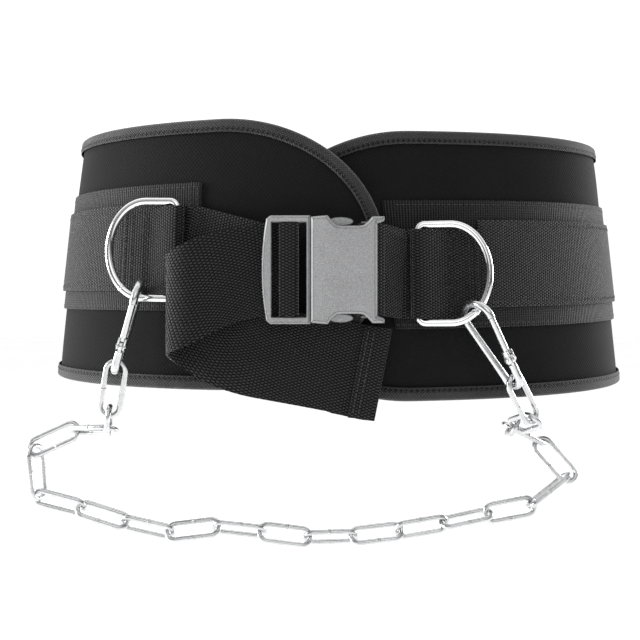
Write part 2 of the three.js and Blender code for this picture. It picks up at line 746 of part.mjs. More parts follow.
function sideOfHook(side, share) {
  const out = new THREE.Vector2(side * Math.cos(hook_slope), Math.sin(hook_slope));
  const top = out.clone().multiplyScalar(hook_top_radius);
  const low = out.clone().multiplyScalar(hook_low_radius).add(hook_low);
  return top.lerp(low, share);
}
const gateNose = sideOfHook(1, gate_start);
const gateHinge = sideOfHook(1, gate_end);
const gateWay = gateNose.clone().sub(gateHinge).normalize();
const gate_length = gateNose.distanceTo(gateHinge);

function roundSection(diameter, sides) {
  const corners = [];
  for (let i = 0; i < sides; i += 1) {
    const swing = 2 * Math.PI * (i + 0.5) / sides;
    corners.push(new THREE.Vector2(Math.cos(swing), Math.sin(swing)).multiplyScalar(diameter / 2));
  }
  return new THREE.Shape(corners);
}

// A box in the hook's plane that runs from the hinge along the gate
function gateBlock(from, to, width, lowZ, highZ) {
  const box = new THREE.BoxGeometry(width, to - from, highZ - lowZ);
  box.translate(0, (from + to) / 2, (lowZ + highZ) / 2);
  box.rotateZ(Math.atan2(-gateWay.x, gateWay.y));
  return toSolid(box.translate(gateHinge.x, gateHinge.y, 0));
}

function hingeDisc(radius, lowZ, highZ) {
  const disc = new THREE.CylinderGeometry(radius, radius, highZ - lowZ, 14).rotateX(Math.PI / 2);
  return toSolid(disc.translate(gateHinge.x, gateHinge.y, (lowZ + highZ) / 2));
}

// Body: one bent wire, with a flattened eye for the gate's pin
const eye_clear = eye_radius + gap;
function hookBody() {
  const points = [];
  const add = (spot) => points.push(new THREE.Vector3(spot.x, spot.y, 0));
  add(gateNose);
  add(sideOfHook(1, 0));
  const slope = THREE.MathUtils.radToDeg(hook_slope);
  for (let angle = slope + 26; angle < 180 - slope; angle += 26) {
    const swing = radians(angle);
    add(new THREE.Vector2(Math.cos(swing), Math.sin(swing)).multiplyScalar(hook_top_radius));
  }
  add(sideOfHook(-1, 0));
  add(sideOfHook(-1, 0.5));
  add(sideOfHook(-1, 1));
  for (let angle = 180 - slope + 36; angle < 360 + slope; angle += 36) {
    const swing = radians(angle);
    add(new THREE.Vector2(Math.cos(swing), Math.sin(swing)).multiplyScalar(hook_low_radius).add(hook_low));
  }
  add(sideOfHook(1, 1));
  add(gateHinge.clone().addScaledVector(gateWay, -eye_clear));
  const line = new THREE.CatmullRomCurve3(points, false, 'centripetal');
  const wire = new THREE.ExtrudeGeometry(roundSection(hook_wire, 7), { steps: 22, extrudePath: line });
  const eye = hingeDisc(eye_radius, -eye_wall / 2, eye_wall / 2);
  const neck = gateBlock(-2 * eye_clear, 0, 2 * eye_radius - 1.6, -eye_wall / 2, eye_wall / 2);
  const hole = hingeDisc(pin_radius + gap, -eye_wall, eye_wall);
  return toSolid(wire).add(eye).add(neck).subtract(hole);
}

// Gate: a straight wire with two cheeks beside the eye and a pin through them
function hookGate() {
  const inner = eye_wall / 2 + gap;
  const outer = inner + cheek_wall;
  const foot = gateHinge.clone().addScaledVector(gateWay, eye_clear);
  const tip = gateNose.clone().addScaledVector(gateWay, -nose_gap);
  const line = new THREE.LineCurve3(new THREE.Vector3(foot.x, foot.y, 0), new THREE.Vector3(tip.x, tip.y, 0));
  let solid = toSolid(new THREE.ExtrudeGeometry(roundSection(gate_wire, 8), { steps: 1, extrudePath: line }));
  for (const side of [-1, 1]) {
    const low = Math.min(side * inner, side * outer);
    solid = solid.add(hingeDisc(eye_radius - 0.4, low, low + cheek_wall));
    solid = solid.add(gateBlock(0, eye_clear + 2, 2 * eye_radius - 1.6, low, low + cheek_wall));
  }
  return solid.add(hingeDisc(pin_radius, -outer - 0.5, outer + 0.5));
}

// Each hook hangs on its ring at an angle of the bow, points towards the chain and is rolled
const hooks = [
  { side: 'left', seat: leftSeat, bow_deg: -80, lean_deg: 17, back_deg: 3, roll_deg: -6, forward: 4.95 },
  { side: 'right', seat: rightSeat, bow_deg: -58, lean_deg: -30, back_deg: 0, roll_deg: 33, forward: 3.0 },
];
const hook_reach = hook_top_radius - hook_wire / 2 - 2 * gap - ring_wire / 2;

function hookSeat({ seat, bow_deg, lean_deg, back_deg, roll_deg, forward }) {
  const bow = ringBow(bow_deg);
  const wire = new THREE.Vector3(bow.x, bow.y, 0).applyMatrix4(seat);
  const upward = new THREE.Vector3(0, 0, 1);
  upward.applyAxisAngle(new THREE.Vector3(1, 0, 0), radians(back_deg));
  upward.applyAxisAngle(new THREE.Vector3(0, 1, 0), radians(lean_deg));
  const x = new THREE.Vector3(0, -1, 0);
  const aside = Math.sign(-lean_deg);
  x.applyAxisAngle(upward, radians(aside * roll_deg));
  const z = new THREE.Vector3().crossVectors(x, upward).normalize();
  x.crossVectors(upward, z);
  const rise = Math.sqrt(hook_reach ** 2 - forward ** 2);
  const centre = wire.addScaledVector(upward, -rise).addScaledVector(x, forward);
  return new THREE.Matrix4().makeBasis(x, upward, z).setPosition(centre);
}

const hookSeats = hooks.map(hookSeat);
hooks.forEach(({ side }, i) => {
  addPiece(`hook_${side}`, fromSolid(hookBody()), zinc()).applyMatrix4(hookSeats[i]);
  addPiece(`gate_${side}`, fromSolid(hookGate()), zinc()).applyMatrix4(hookSeats[i]);
});

// Chain: each link is a stadium of round wire
function linkGeometry() {
  const radius = (link_inner_width + link_wire) / 2;
  const straight = (link_inner_length + link_wire) / 2 - radius;
  const line = [];
  for (const end of [1, -1]) {
    for (let angle = -90; angle <= 90; angle += 30) {
      const swing = radians(angle);
      const x = straight + radius * Math.cos(swing);
      line.push(new THREE.Vector2(end * x, end * radius * Math.sin(swing)));
    }
  }
  return wireRing(line, link_wire, 6);
}

// The wire of an end link lies inside the hook's narrow bow
const hook_to_link = (hook_wire + link_wire) / 2 + 3 * gap + link_slack / 2;
function chainEnd(seat) {
  return new THREE.Vector3(0, -hook_span - hook_low_radius + hook_to_link, 0).applyMatrix4(seat);
}
const chainStart = chainEnd(hookSeats[0]);
const chainFinish = chainEnd(hookSeats[1]);
const wire_span = link_inner_length + link_wire;

function chainLine(drop) {
  const level = (chainStart.z + chainFinish.z) / 2;
  const route = chain_route.map((row) => new THREE.Vector3(row.x, row.y, level - row.drop * drop));
  const line = new THREE.CatmullRomCurve3([chainStart, ...route, chainFinish], false, 'centripetal');
  return line.getPoints(1600);
}

// How far two links' wires reach past their joint: the link before it, and the link after it
function straightReaches() {
  const reach = (link_wire + link_slack) / 2;
  const reaches = Array.from({ length: link_count + 1 }, () => ({ before: reach, after: reach }));
  reaches[0].after = 0;
  reaches[link_count].before = 0;
  return reaches;
}

// Steps along the line from joint to joint, one link at a time; also says how many links it takes
function walkChain(drop, reaches) {
  const line = chainLine(drop);
  const joints = [line[0]];
  for (const spot of line) {
    const i = Math.min(joints.length - 1, link_count - 1);
    const span = wire_span - reaches[i].after - reaches[i + 1].before;
    if (spot.distanceTo(joints.at(-1)) >= span) joints.push(spot);
  }
  const left = line.at(-1).distanceTo(joints.at(-1)) / wire_span;
  return { joints, count: joints.length - 1 + left };
}

// The chain hangs as deep as its links need
function fitDrop(reaches) {
  let shallow = 40;
  let deep = 220;
  for (let i = 0; i < 22; i += 1) {
    const drop = (shallow + deep) / 2;
    if (walkChain(drop, reaches).count < link_count) shallow = drop;
    else deep = drop;
  }
  return [...walkChain(shallow, reaches).joints.slice(0, link_count), chainFinish];
}

// Links turn by a quarter from one to the next, with an even twist that ends on the right hook
function turnLinks(joints) {
  const ways = joints.slice(1).map((joint, i) => joint.clone().sub(joints[i]).normalize());
  const faces = [new THREE.Vector3().setFromMatrixColumn(hookSeats[0], 2)];
  ways.slice(1).forEach((way, i) => {
    const turn = new THREE.Quaternion().setFromUnitVectors(ways[i], way);
    faces.push(faces[i].clone().applyQuaternion(turn));
  });
  const lastWay = ways.at(-1);
  const wanted = new THREE.Vector3().setFromMatrixColumn(hookSeats[1], 2);
  wanted.projectOnPlane(lastWay).normalize();
  const lastFace = faces.at(-1).clone().projectOnPlane(lastWay).normalize();
  const mismatch = Math.atan2(lastWay.dot(lastFace.clone().cross(wanted)), lastFace.dot(wanted));
  const quarter = Math.PI / 2 * ((link_count - 1) % 2);
  const twist = THREE.MathUtils.euclideanModulo(mismatch - quarter + Math.PI / 2, Math.PI) - Math.PI / 2;
  return ways.map((way, i) => {
    const share = i / (link_count - 1);
    const middleRoll = radians(chain_roll_deg) * Math.sin(Math.PI * share) ** 4;
    const roll = Math.PI / 2 * (i % 2) + twist * share + middleRoll;
    const side = faces[i].clone().projectOnPlane(way).normalize().applyAxisAngle(way, roll);
    return { way, side };
  });
}

// Where the chain turns, one link swings round the other's end wire, whichever lies along the turn's axis
function turnedReaches(links) {
  const reaches = straightReaches();
  for (let i = 1; i < link_count; i += 1) {
    const axis = new THREE.Vector3().crossVectors(links[i - 1].way, links[i].way).normalize();
    const turn = links[i - 1].way.angleTo(links[i].way);
    const hinged = links[i - 1].side.dot(axis) ** 2;
    const mixed = 4 * hinged * (1 - hinged);
    const reach = (link_wire + link_slack) * (1 + mixed * (1 / Math.cos(turn / 2) - 1));
    reaches[i] = { before: reach * (1 - hinged), after: reach * hinged };
  }
  return reaches;
}

function addChain() {
  let reaches = straightReaches();
  let joints = fitDrop(reaches);
  let links = turnLinks(joints);
  for (let pass = 0; pass < 4; pass += 1) {
    reaches = turnedReaches(links);
    joints = fitDrop(reaches);
    links = turnLinks(joints);
  }
  links.forEach(({ way, side }, i) => {
    const start = joints[i].clone().addScaledVector(way, -reaches[i].after);
    const end = joints[i + 1].clone().addScaledVector(way, reaches[i + 1].before);
    const place = new THREE.Matrix4().makeBasis(way, side, new THREE.Vector3().crossVectors(way, side));
    const name = `chain_link_${String(i + 1).padStart(2, '0')}`;
    addPiece(name, linkGeometry(), zinc()).applyMatrix4(place.setPosition(start.lerp(end, 0.5)));
  });
}
addChain();

export default dipBelt;
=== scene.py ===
# Looks of a dip belt: a padded waist belt, closed in front by a buckled strap, that carries a chain
# on two snap hooks. Metres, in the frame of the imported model: X right, Y to the back, Z up.
import bisect
import json
import math

import bmesh
import bpy
from mathutils import Matrix, Vector, noise


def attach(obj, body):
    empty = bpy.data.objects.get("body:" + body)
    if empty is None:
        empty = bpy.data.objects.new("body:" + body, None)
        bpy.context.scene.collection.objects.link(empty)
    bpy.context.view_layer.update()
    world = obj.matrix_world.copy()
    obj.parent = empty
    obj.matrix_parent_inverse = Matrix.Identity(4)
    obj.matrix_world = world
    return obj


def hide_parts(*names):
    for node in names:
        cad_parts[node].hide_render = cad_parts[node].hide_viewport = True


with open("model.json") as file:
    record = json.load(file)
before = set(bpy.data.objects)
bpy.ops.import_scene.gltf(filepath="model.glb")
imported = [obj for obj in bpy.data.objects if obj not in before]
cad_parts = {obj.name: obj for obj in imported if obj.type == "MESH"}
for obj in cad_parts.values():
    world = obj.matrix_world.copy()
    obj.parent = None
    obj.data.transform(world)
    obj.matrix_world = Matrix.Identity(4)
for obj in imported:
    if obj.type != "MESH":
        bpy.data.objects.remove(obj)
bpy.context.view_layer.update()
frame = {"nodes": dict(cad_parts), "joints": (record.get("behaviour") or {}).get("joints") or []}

# Waist wrap: one long piece of 5.5 mm neoprene foam with black knitted jersey on both faces.
# It is cut with rounded ends, and its left flap closes over the right one in front.
up = Vector((0, 0, 1))
waist_half_width = 0.1785
waist_half_depth = 0.117
waist_fullness = 2.2
wrap_height = 0.152
wrap_wall = 0.0055
flap_round = 0.093
left_flap_reach = 0.020
right_flap_reach = 0.057
lap_rise = 0.008
lap_step = 0.0087
flare_side = math.tan(math.radians(6.1))
flare_front = math.tan(math.radians(3.6))
edge_pinch = 0.0007
pinch_reach = 0.010
foam_swell = 0.00035
cloth_step = 0.005
knit_width = 0.0011
knit_height = 0.0013


def waist_plan(turn):
    """The waist seen from above, from the front's middle round by the left side."""
    angle = 2 * math.pi * turn
    power = 2 / waist_fullness
    across = math.copysign(abs(math.sin(angle)) ** power, math.sin(angle))
    along = math.copysign(abs(math.cos(angle)) ** power, math.cos(angle))
    return Vector((-waist_half_width * across, -waist_half_depth * along, 0))


plan_steps = 2000
plan_marks = [0.0]
for plan_step in range(plan_steps):
    stride = waist_plan((plan_step + 1) / plan_steps) - waist_plan(plan_step / plan_steps)
    plan_marks.append(plan_marks[-1] + stride.length)
waist_length = plan_marks[-1]
wrap_start = -left_flap_reach
wrap_end = waist_length + right_flap_reach
wrap_length = wrap_end - wrap_start


def on_waist(turn):
    """A point of the plan at a share of the way round."""
    reach = turn % 1 * waist_length
    step = min(bisect.bisect_right(plan_marks, reach) - 1, plan_steps - 1)
    part = (reach - plan_marks[step]) / (plan_marks[step + 1] - plan_marks[step])
    return waist_plan((step + part) / plan_steps)


def wrap_share(along):
    return 0.5 - (along - wrap_start) / wrap_length


def on_wrap(along, height, out):
    """A place on the wrap: along the waist, up from the wrap's own middle, and out of its wall."""
    turn = along / waist_length
    heading = on_waist(turn + 0.002) - on_waist(turn - 0.002)
    outward = up.cross(heading).normalized()
    winding = wrap_share(along) * lap_step * wrap_length / waist_length
    flare = flare_side * outward.x ** 2 + flare_front * outward.y ** 2
    place = on_waist(turn) + outward * (out + winding - height * flare)
    place.z = wrap_share(along) * lap_rise + height
    return place


def half_height(along):
    """Half the wrap's height, less in its rounded ends."""
    from_end = min(along - wrap_start, wrap_end - along)
    cut = min(max((flap_round - from_end) / flap_round, 0), 1)
    return wrap_height / 2 * math.sqrt(1 - cut * cut)


def evenly(start, end, step):
    """Marks from start to end, about a step apart."""
    count = max(1, round(abs(end - start) / step))
    return [start + (end - start) * i / count for i in range(count + 1)]


def cloth_grid(name, rows, columns, place, cloth_at=None):
    """A cloth surface: a grid whose corners go where place says, with its cloth map in metres."""
    mesh = bpy.data.meshes.new(name)
    bm = bmesh.new()
    bmesh.ops.create_grid(bm, x_segments=len(rows) - 1, y_segments=len(columns) - 1, size=0.5)
    cloth = bm.loops.layers.uv.new("cloth")
    spots = {}
    for vert in bm.verts:
        row = rows[round((vert.co.x + 0.5) * (len(rows) - 1))]
        column = columns[round((vert.co.y + 0.5) * (len(columns) - 1))]
        spots[vert] = cloth_at(row, column) if cloth_at else (row, column)
        vert.co = place(row, column)
    for face in bm.faces:
        face.smooth = True
        for loop in face.loops:
            loop[cloth].uv = spots[loop.vert]
    bmesh.ops.remove_doubles(bm, verts=bm.verts, dist=1e-6)
    bmesh.ops.recalc_face_normals(bm, faces=bm.faces)
    bm.to_mesh(mesh)
    bm.free()
    piece = bpy.data.objects.new(name, mesh)
    bpy.context.scene.collection.objects.link(piece)
    return piece


def wrap_rows():
    """Marks along the wrap, closer together in its rounded ends."""
    ends = [flap_round * (1 - math.cos(math.radians(angle))) for angle in range(4, 90, 4)]
    straight = evenly(wrap_start + flap_round, wrap_end - flap_round, cloth_step)
    return [wrap_start + e for e in ends] + straight + [wrap_end - e for e in reversed(ends)]


def wrap_surface(along, around):
    """Round the section: up the outer face for around 0 to 1, down the inner one for 1 to 2."""
    face = 1 if around <= 1 else -1
    share = 2 * around - 1 if around <= 1 else 3 - 2 * around
    height = share * half_height(along)
    from_edge = (1 - abs(share)) * half_height(along)
    pinch = edge_pinch * math.exp(-from_edge / pinch_reach)
    swell = foam_swell * noise.noise(Vector((along * 22, height * 30, 3.0 * face)))
    return on_wrap(along, height, face * (wrap_wall / 2 - pinch + swell))


class Socket:
    """A socket in a material. Arithmetic on it adds Math nodes, and node() adds any other node."""

    def __init__(self, tree, output=None):
        self.tree = tree
        self.output = output

    def node(self, kind, settings=None, inputs=None, outputs=(0,)):
        made = self.tree.nodes.new(kind)
        for name, value in (settings or {}).items():
            setattr(made, name, value)
        for name, value in (inputs or {}).items():
            if isinstance(value, Socket):
                self.tree.links.new(value.output, made.inputs[name])
            else:
                made.inputs[name].default_value = value
        results = [Socket(self.tree, made.outputs[output]) for output in outputs]
        return results[0] if len(results) == 1 else results

    def maths(self, operation, *values):
        return self.node("ShaderNodeMath", {"operation": operation}, dict(enumerate(values)))

    def __add__(self, other):
        return self.maths("ADD", self, other)

    def __sub__(self, other):
        return self.maths("SUBTRACT", self, other)

    def __rsub__(self, other):
        return self.maths("SUBTRACT", other, self)

    def __mul__(self, other):
        return self.maths("MULTIPLY", self, other)

    def __pow__(self, other):
        return self.maths("POWER", self, other)

    __radd__ = __add__

    def sine(self):
        return self.maths("SINE", self)

    def size(self):
        return self.maths("ABSOLUTE", self)

    def feeds(self, name):
        """Sends this socket to an input of the material's shader."""
        shader = self.tree.nodes["Principled BSDF"]
        self.tree.links.new(self.output, shader.inputs[name])


def surface(name, constants):
    """A material with its shader's fixed values set, and the start of its nodes."""
    material = bpy.data.materials.new(name)
    material.use_nodes = True
    shader = material.node_tree.nodes["Principled BSDF"]
    for socket, value in constants.items():
        shader.inputs[socket].default_value = value
    return material, Socket(material.node_tree)


def cloth_map(start):
    """The cloth's own coordinates: metres along it and across it."""
    where = start.node("ShaderNodeUVMap", {"uv_map": "cloth"})
    return start.node("ShaderNodeSeparateXYZ", inputs={"Vector": where}, outputs=("X", "Y"))


def cloth_surface(name, sheen, sheen_roughness):
    """A dull cloth's material with its sheen, the start of its nodes and its cloth map."""
    dull = {"Sheen Weight": sheen, "Sheen Roughness": sheen_roughness, "Specular IOR Level": 0.1}
    material, start = surface(name, dull)
    return material, start, *cloth_map(start)


def speckle(start, scale, detail):
    """A soft random pattern over the piece, with so many spots to the metre."""
    where = start.node("ShaderNodeTexCoord", outputs=("Object",))
    inputs = {"Vector": where, "Scale": scale, "Detail": detail}
    return start.node("ShaderNodeTexNoise", inputs=inputs)


def shade_between(start, dark, light, share):
    """A colour from dark to light by a share."""
    return start.node(
        "ShaderNodeMix",
        {"data_type": "RGBA"},
        {"Factor": share, "A": (*dark, 1), "B": (*light, 1)},
        ("Result",),
    )


def woven(along, across, column, row):
    """A weave in columns across the cloth: each column's picks lie between those of the next one.
    Gives the columns and the picks in them."""
    wave = (along * (math.pi / column)).sine()
    side = wave.maths("MINIMUM", wave * 2.5, 1.0)
    side = side.maths("MAXIMUM", side, -1.0)
    return wave.size() ** 0.6, side * (across * (2 * math.pi / row)).sine()


def raised(start, height, depth, base=None):
    """Bumps of a depth in metres, on the surface or on another normal."""
    inputs = {"Height": height, "Strength": 1.0, "Distance": depth}
    if base:
        inputs["Normal"] = base
    return start.node("ShaderNodeBump", inputs=inputs)


def knitted_neoprene():
    material, start, along, across = cloth_surface("knitted_neoprene", 0.05, 0.4)
    stitch = (along * (math.pi / knit_width)).sine() * (across * (math.pi / knit_height)).sine()
    lint = speckle(start, 900, 3)
    worn = speckle(start, 26, 4)
    share = stitch * 0.12 + lint * 0.5 + worn * 0.4
    shade_between(start, (0.004, 0.004, 0.0044), (0.016, 0.016, 0.017), share).feeds("Base Color")
    (0.82 + lint * 0.16).feeds("Roughness")
    raised(start, stitch * 0.5 + lint * 0.8, 0.00018).feeds("Normal")
    return material


outer_face = [i / 24 for i in range(25)]
wrap = cloth_grid(
    "neoprene_wrap",
    wrap_rows(),
    outer_face + [1 + share for share in outer_face[1:]],
    wrap_surface,
    lambda along, around: (along, (around if around <= 1 else 2 - around) * wrap_height),
)
wrap.data.materials.append(knitted_neoprene())
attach(wrap, "belt")
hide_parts("belt_wrap")

# Edge binding: a 22 mm woven tape folded over the wrap's edge all the way round, and sewn through
# both of its legs at once with black thread.
binding_width = 0.008
binding_wall = 0.001
layer_gap = 0.0003
binding_leg = wrap_wall / 2 + layer_gap + binding_wall
binding_over = layer_gap + binding_wall
binding_seam = 0.0044
tape_edge = binding_over - binding_width
tape_bulge = 0.0001
tape_tuck = 0.0004
bulge_at = -0.004
fold_at = -0.0009
tape_thread = 0.0009
edge_stitch_pitch = 0.0031
edge_stitch_length = 0.0021
groove_width = 0.0013
thread_width = 0.00055


def wrap_outline(step):
    """The wrap's edge as (along, height, way out of it), once round."""
    outline = []
    turns = max(8, round(math.pi * flap_round / step))
    reach = wrap_length - 2 * flap_round
    straight = max(2, round(reach / step))
    for middle, first, way in ((wrap_end - flap_round, -90, -1), (wrap_start + flap_round, 90, 1)):
        for i in range(turns + 1):
            angle = math.radians(first + 180 * i / turns)
            lean = Vector((math.cos(angle) / flap_round, math.sin(angle) * 2 / wrap_height))
            along = middle + flap_round * math.cos(angle)
            outline.append((along, wrap_height / 2 * math.sin(angle), lean.normalized()))
        for i in range(1, straight):
            along = middle + way * reach * i / straight
            outline.append((along, -way * wrap_height / 2, Vector((0, -way))))
    return outline


def on_edge(mark, edge, out):
    along, height, lean = mark
    return on_wrap(along + lean.x * edge, height + lean.y * edge, out)


def binding_section():
    """The folded tape's section: its outer leg, its round fold, its inner leg, and back inside."""
    fold = []
    for angle in range(90, -91, -20):
        swing = math.radians(angle)
        reach = fold_at + (binding_over - fold_at) * math.cos(swing)
        fold.append((reach, binding_leg * math.sin(swing)))
    leg = [(tape_edge, binding_leg - tape_tuck), (tape_edge, binding_leg)]
    leg.append((bulge_at, binding_leg + tape_bulge))
    return leg + fold + [(edge, -out) for edge, out in reversed(leg)]


def thread_piece(name, rows, thread):
    """One piece for a group of stitch rows. A mark is a stitch's place, its way and the way out of
    the cloth. One stitch is made, and a copy of it is laid at each mark."""
    stitch = bmesh.new()
    bmesh.ops.create_uvsphere(stitch, u_segments=6, v_segments=4, radius=0.5)
    stitch_mesh = bpy.data.meshes.new("stitch")
    stitch.to_mesh(stitch_mesh)
    stitch.free()
    bm = bmesh.new()
    for marks, length in rows:
        size = Matrix.Diagonal((length, thread_width, thread_width, 1))
        for spot, run, out in marks:
            run = run.normalized()
            side = out.cross(run).normalized()
            turn = Matrix((run, side, run.cross(side))).transposed().to_4x4()
            laid = stitch_mesh.copy()
            laid.transform(Matrix.Translation(spot) @ turn @ size)
            bm.from_mesh(laid)
            bpy.data.meshes.remove(laid)
    bpy.data.meshes.remove(stitch_mesh)
    for face in bm.faces:
        face.smooth = True
    mesh = bpy.data.meshes.new(name)
    bm.to_mesh(mesh)
    bm.free()
    piece = bpy.data.objects.new(name, mesh)
    bpy.context.scene.collection.objects.link(piece)
    piece.data.materials.append(thread)
    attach(piece, "belt")


def woven_tape(tape_width, seam_reach):
    """The tape's weave, pinched down along both seams and most of all at each stitch, with painted
    shade darkening the grooves and the stitch pits.
    """
    material, start, along, across = cloth_surface("binding_tape", 0.3, 0.4)
    from_seam = ((across - tape_width / 2).size() - (tape_width / 2 - seam_reach)).size()
    groove_and_shade = 1 - from_seam * (1 / groove_width)
    groove_and_shade = groove_and_shade.maths("MAXIMUM", groove_and_shade, 0)
    stitched = (along * (2 * math.pi / edge_stitch_pitch) + math.pi / 2).sine()
    pit_and_shade = groove_and_shade * stitched.maths("MAXIMUM", stitched, 0)
    weave = (along * (math.pi / tape_thread)).sine() * (across * (math.pi / tape_thread)).sine()
    fibres = speckle(start, 1400, 3)
    patches = speckle(start, 60, 3)
    # The seam grooves are painted a little darker and each stitch pit much darker: painted shade in
    # these recesses.
    share = weave * 0.22 + fibres * 0.45 + patches * 0.35 - groove_and_shade * 0.2 - pit_and_shade * 0.9
    shade_between(start, (0.006, 0.006, 0.0064), (0.1, 0.1, 0.104), share).feeds("Base Color")
    (0.7 + fibres * 0.2).feeds("Roughness")
    raised(start, weave + fibres * 0.6 - groove_and_shade - pit_and_shade * 2, 0.0002).feeds("Normal")
    return material


def spun_thread(name, dark, light):
    material, start = surface(name, {"Sheen Weight": 0.2, "Specular IOR Level": 0.3})
    ply = speckle(start, 2600, 2)
    shade_between(start, dark, light, ply).feeds("Base Color")
    (0.55 + ply * 0.3).feeds("Roughness")
    raised(start, ply, 0.0001).feeds("Normal")
    return material


grey_thread = spun_thread("grey_thread", (0.012, 0.012, 0.013), (0.06, 0.06, 0.063))
black_thread = spun_thread("black_thread", (0.0008, 0.0008, 0.0009), (0.004, 0.004, 0.0043))
edge_marks = wrap_outline(edge_stitch_pitch)
tape_section = binding_section()
tape_reach = [0.0]
for (edge_a, out_a), (edge_b, out_b) in zip(tape_section, tape_section[1:]):
    tape_reach.append(tape_reach[-1] + math.hypot(edge_b - edge_a, out_b - out_a))
binding = cloth_grid(
    "edge_binding_tape",
    list(range(len(edge_marks) + 1)),
    list(range(len(tape_section))),
    lambda row, column: on_edge(edge_marks[row % len(edge_marks)], *tape_section[column]),
    lambda row, column: (row * edge_stitch_pitch, tape_reach[column]),
)
binding.data.materials.append(woven_tape(tape_reach[-1], -tape_edge - binding_seam))
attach(binding, "belt")
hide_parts("edge_binding")


def edge_seam(out):
    """Stitches along the tape, on the side that out says."""
    marks = []
    for i, mark in enumerate(edge_marks):
        here = on_edge(mark, -binding_seam, out)
        ahead = on_edge(edge_marks[(i + 1) % len(edge_marks)], -binding_seam, out)
        beyond = on_edge(mark, -binding_seam, out * 1.2)
        marks.append((here, ahead - here, beyond - here))
    return marks, edge_stitch_length


seam_out = binding_leg + tape_bulge
edge_rows = [edge_seam(out) for out in (seam_out, -seam_out)]
thread_piece("binding_stitches", edge_rows, black_thread)

# Wide band: dark grey 73 mm webbing with fine upright ribs, laid round the wrap and sewn along both
# of its edges. Its left end is sewn down with two rows.
band_wall = 0.0015
wide_band_height = 0.073
wide_band_lift = 0.0045
wide_band_left_end = 0.082
wide_band_right_end = 0.024
wide_band_right_slant = 0.007
rib_pitch = 0.0015
pick_pitch = 0.0007
end_slant_length = 0.02
band_seam_inset = 0.0025
band_end_insets = (0.002, 0.0065)
band_stitch = (0.0034, 0.0026, 0)
end_stitch = (0.0031, 0.0023, 0)
band_out = wrap_wall / 2 + layer_gap + band_wall / 2
over_band_out = band_out + band_wall + layer_gap


def band_middle(along):
    return wide_band_lift * (1 - along / waist_length)


def on_band(along, across, out):
    return on_wrap(along, band_middle(along) + across, out)


def add_wall(piece, thickness):
    """Gives a cloth its thickness, half to each side, and a soft edge."""
    wall = piece.modifiers.new("wall", "SOLIDIFY")
    wall.thickness = thickness
    wall.offset = 0
    edge = piece.modifiers.new("soft edge", "BEVEL")
    edge.width = thickness * 0.3
    edge.segments = 2
    edge.limit_method = "ANGLE"
    edge.angle_limit = math.radians(60)
    edge.use_clamp_overlap = True


def seam_on(place, start, end, out, stitch):
    """Stitches from start to end, both (along, across), on a cloth that place describes. A stitch
    is given by its pitch, its length and its zigzag. Gives the marks and the length."""
    pitch, length, zigzag = stitch
    marks = []
    start = Vector(start)
    run = Vector(end) - start
    count = max(1, round(run.length / pitch))
    aside = Vector((-run.y, run.x)).normalized() * zigzag
    corners = [start + run * (i / count) + aside * (1 if i % 2 else -1) for i in range(count + 1)]
    for a, b in zip(corners, corners[1:]):
        middle = (a + b) / 2
        here = place(middle.x, middle.y, out)
        beyond = place(middle.x, middle.y, out * 1.2)
        marks.append((here, place(b.x, b.y, out) - place(a.x, a.y, out), beyond - here))
    return marks, length


def ribbed_webbing():
    material, start, along, across = cloth_surface("ribbed_webbing", 0.3, 0.35)
    rib = (along * (math.pi / rib_pitch)).sine().size()
    pick = (across * (math.pi / pick_pitch)).sine()
    fibres = speckle(start, 1300, 3)
    patches = speckle(start, 34, 4)
    share = rib * 0.8 + pick * 0.15 + fibres * 0.35 + patches * 0.3 - 0.4
    shade_between(start, (0.001, 0.001, 0.0011), (0.04, 0.04, 0.042), share).feeds("Base Color")
    (0.62 + fibres * 0.25).feeds("Roughness")
    raised(start, rib + pick * 0.2 + fibres * 0.25, 0.0004).feeds("Normal")
    return material


wide_band_end = waist_length - wide_band_right_end


def wide_band_place(along, across):
    near_end = max(0, 1 - (wide_band_end - along) / end_slant_length)
    slant = wide_band_right_slant * near_end * across / wide_band_height
    return on_band(along + slant, across, band_out)


wide_band_piece = cloth_grid(
    "ribbed_wide_band",
    evenly(wide_band_left_end, wide_band_end, cloth_step),
    evenly(-wide_band_height / 2, wide_band_height / 2, 0.009),
    wide_band_place,
)
add_wall(wide_band_piece, band_wall)
wide_band_piece.data.materials.append(ribbed_webbing())
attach(wide_band_piece, "belt")
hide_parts("wide_band")

band_face = band_out + band_wall / 2
half_band = wide_band_height / 2
wide_band_rows = []
for across in (-half_band + band_seam_inset, half_band - band_seam_inset):
    ends = (wide_band_left_end + 0.002, across), (wide_band_end - 0.003, across)
    wide_band_rows.append(seam_on(on_band, *ends, band_face, band_stitch))
for inset in band_end_insets:
    seam_at = wide_band_left_end + inset
    ends = (seam_at, -half_band + 0.002), (seam_at, half_band - 0.002)
    wide_band_rows.append(seam_on(on_band, *ends, band_face, end_stitch))
thread_piece("wide_band_stitches", wide_band_rows, grey_thread)

# Middle band: 50 mm webbing in a coarse weave of upright columns, laid along the middle of the wide
# band from one ring loop to the other, and sewn along both edges with a zigzag.
middle_band_height = 0.05
loop_length = 0.036
left_ring_reach = 0.093
right_ring_reach = 0.039
column_pitch = 0.0015
row_pitch = 0.00165
middle_seam_inset = 0.003
zigzag_stitch = (0.0026, 0.0031, 0.0012)
middle_from = left_ring_reach + loop_length + 2 * layer_gap
middle_to = waist_length - right_ring_reach - loop_length - 2 * layer_gap


def coarse_webbing():
    material, start, along, across = cloth_surface("coarse_webbing", 0.3, 0.35)
    column, pick = woven(along, across, column_pitch, row_pitch)
    fibres = speckle(start, 1200, 3)
    patches = speckle(start, 30, 4)
    share = column * 0.8 + pick * 0.55 + fibres * 0.3 + patches * 0.25 - 0.6
    shade_between(start, (0.001, 0.001, 0.0011), (0.075, 0.075, 0.078), share).feeds("Base Color")
    (0.62 + fibres * 0.25).feeds("Roughness")
    raised(start, column + pick * 0.6 + fibres * 0.2, 0.0006).feeds("Normal")
    return material


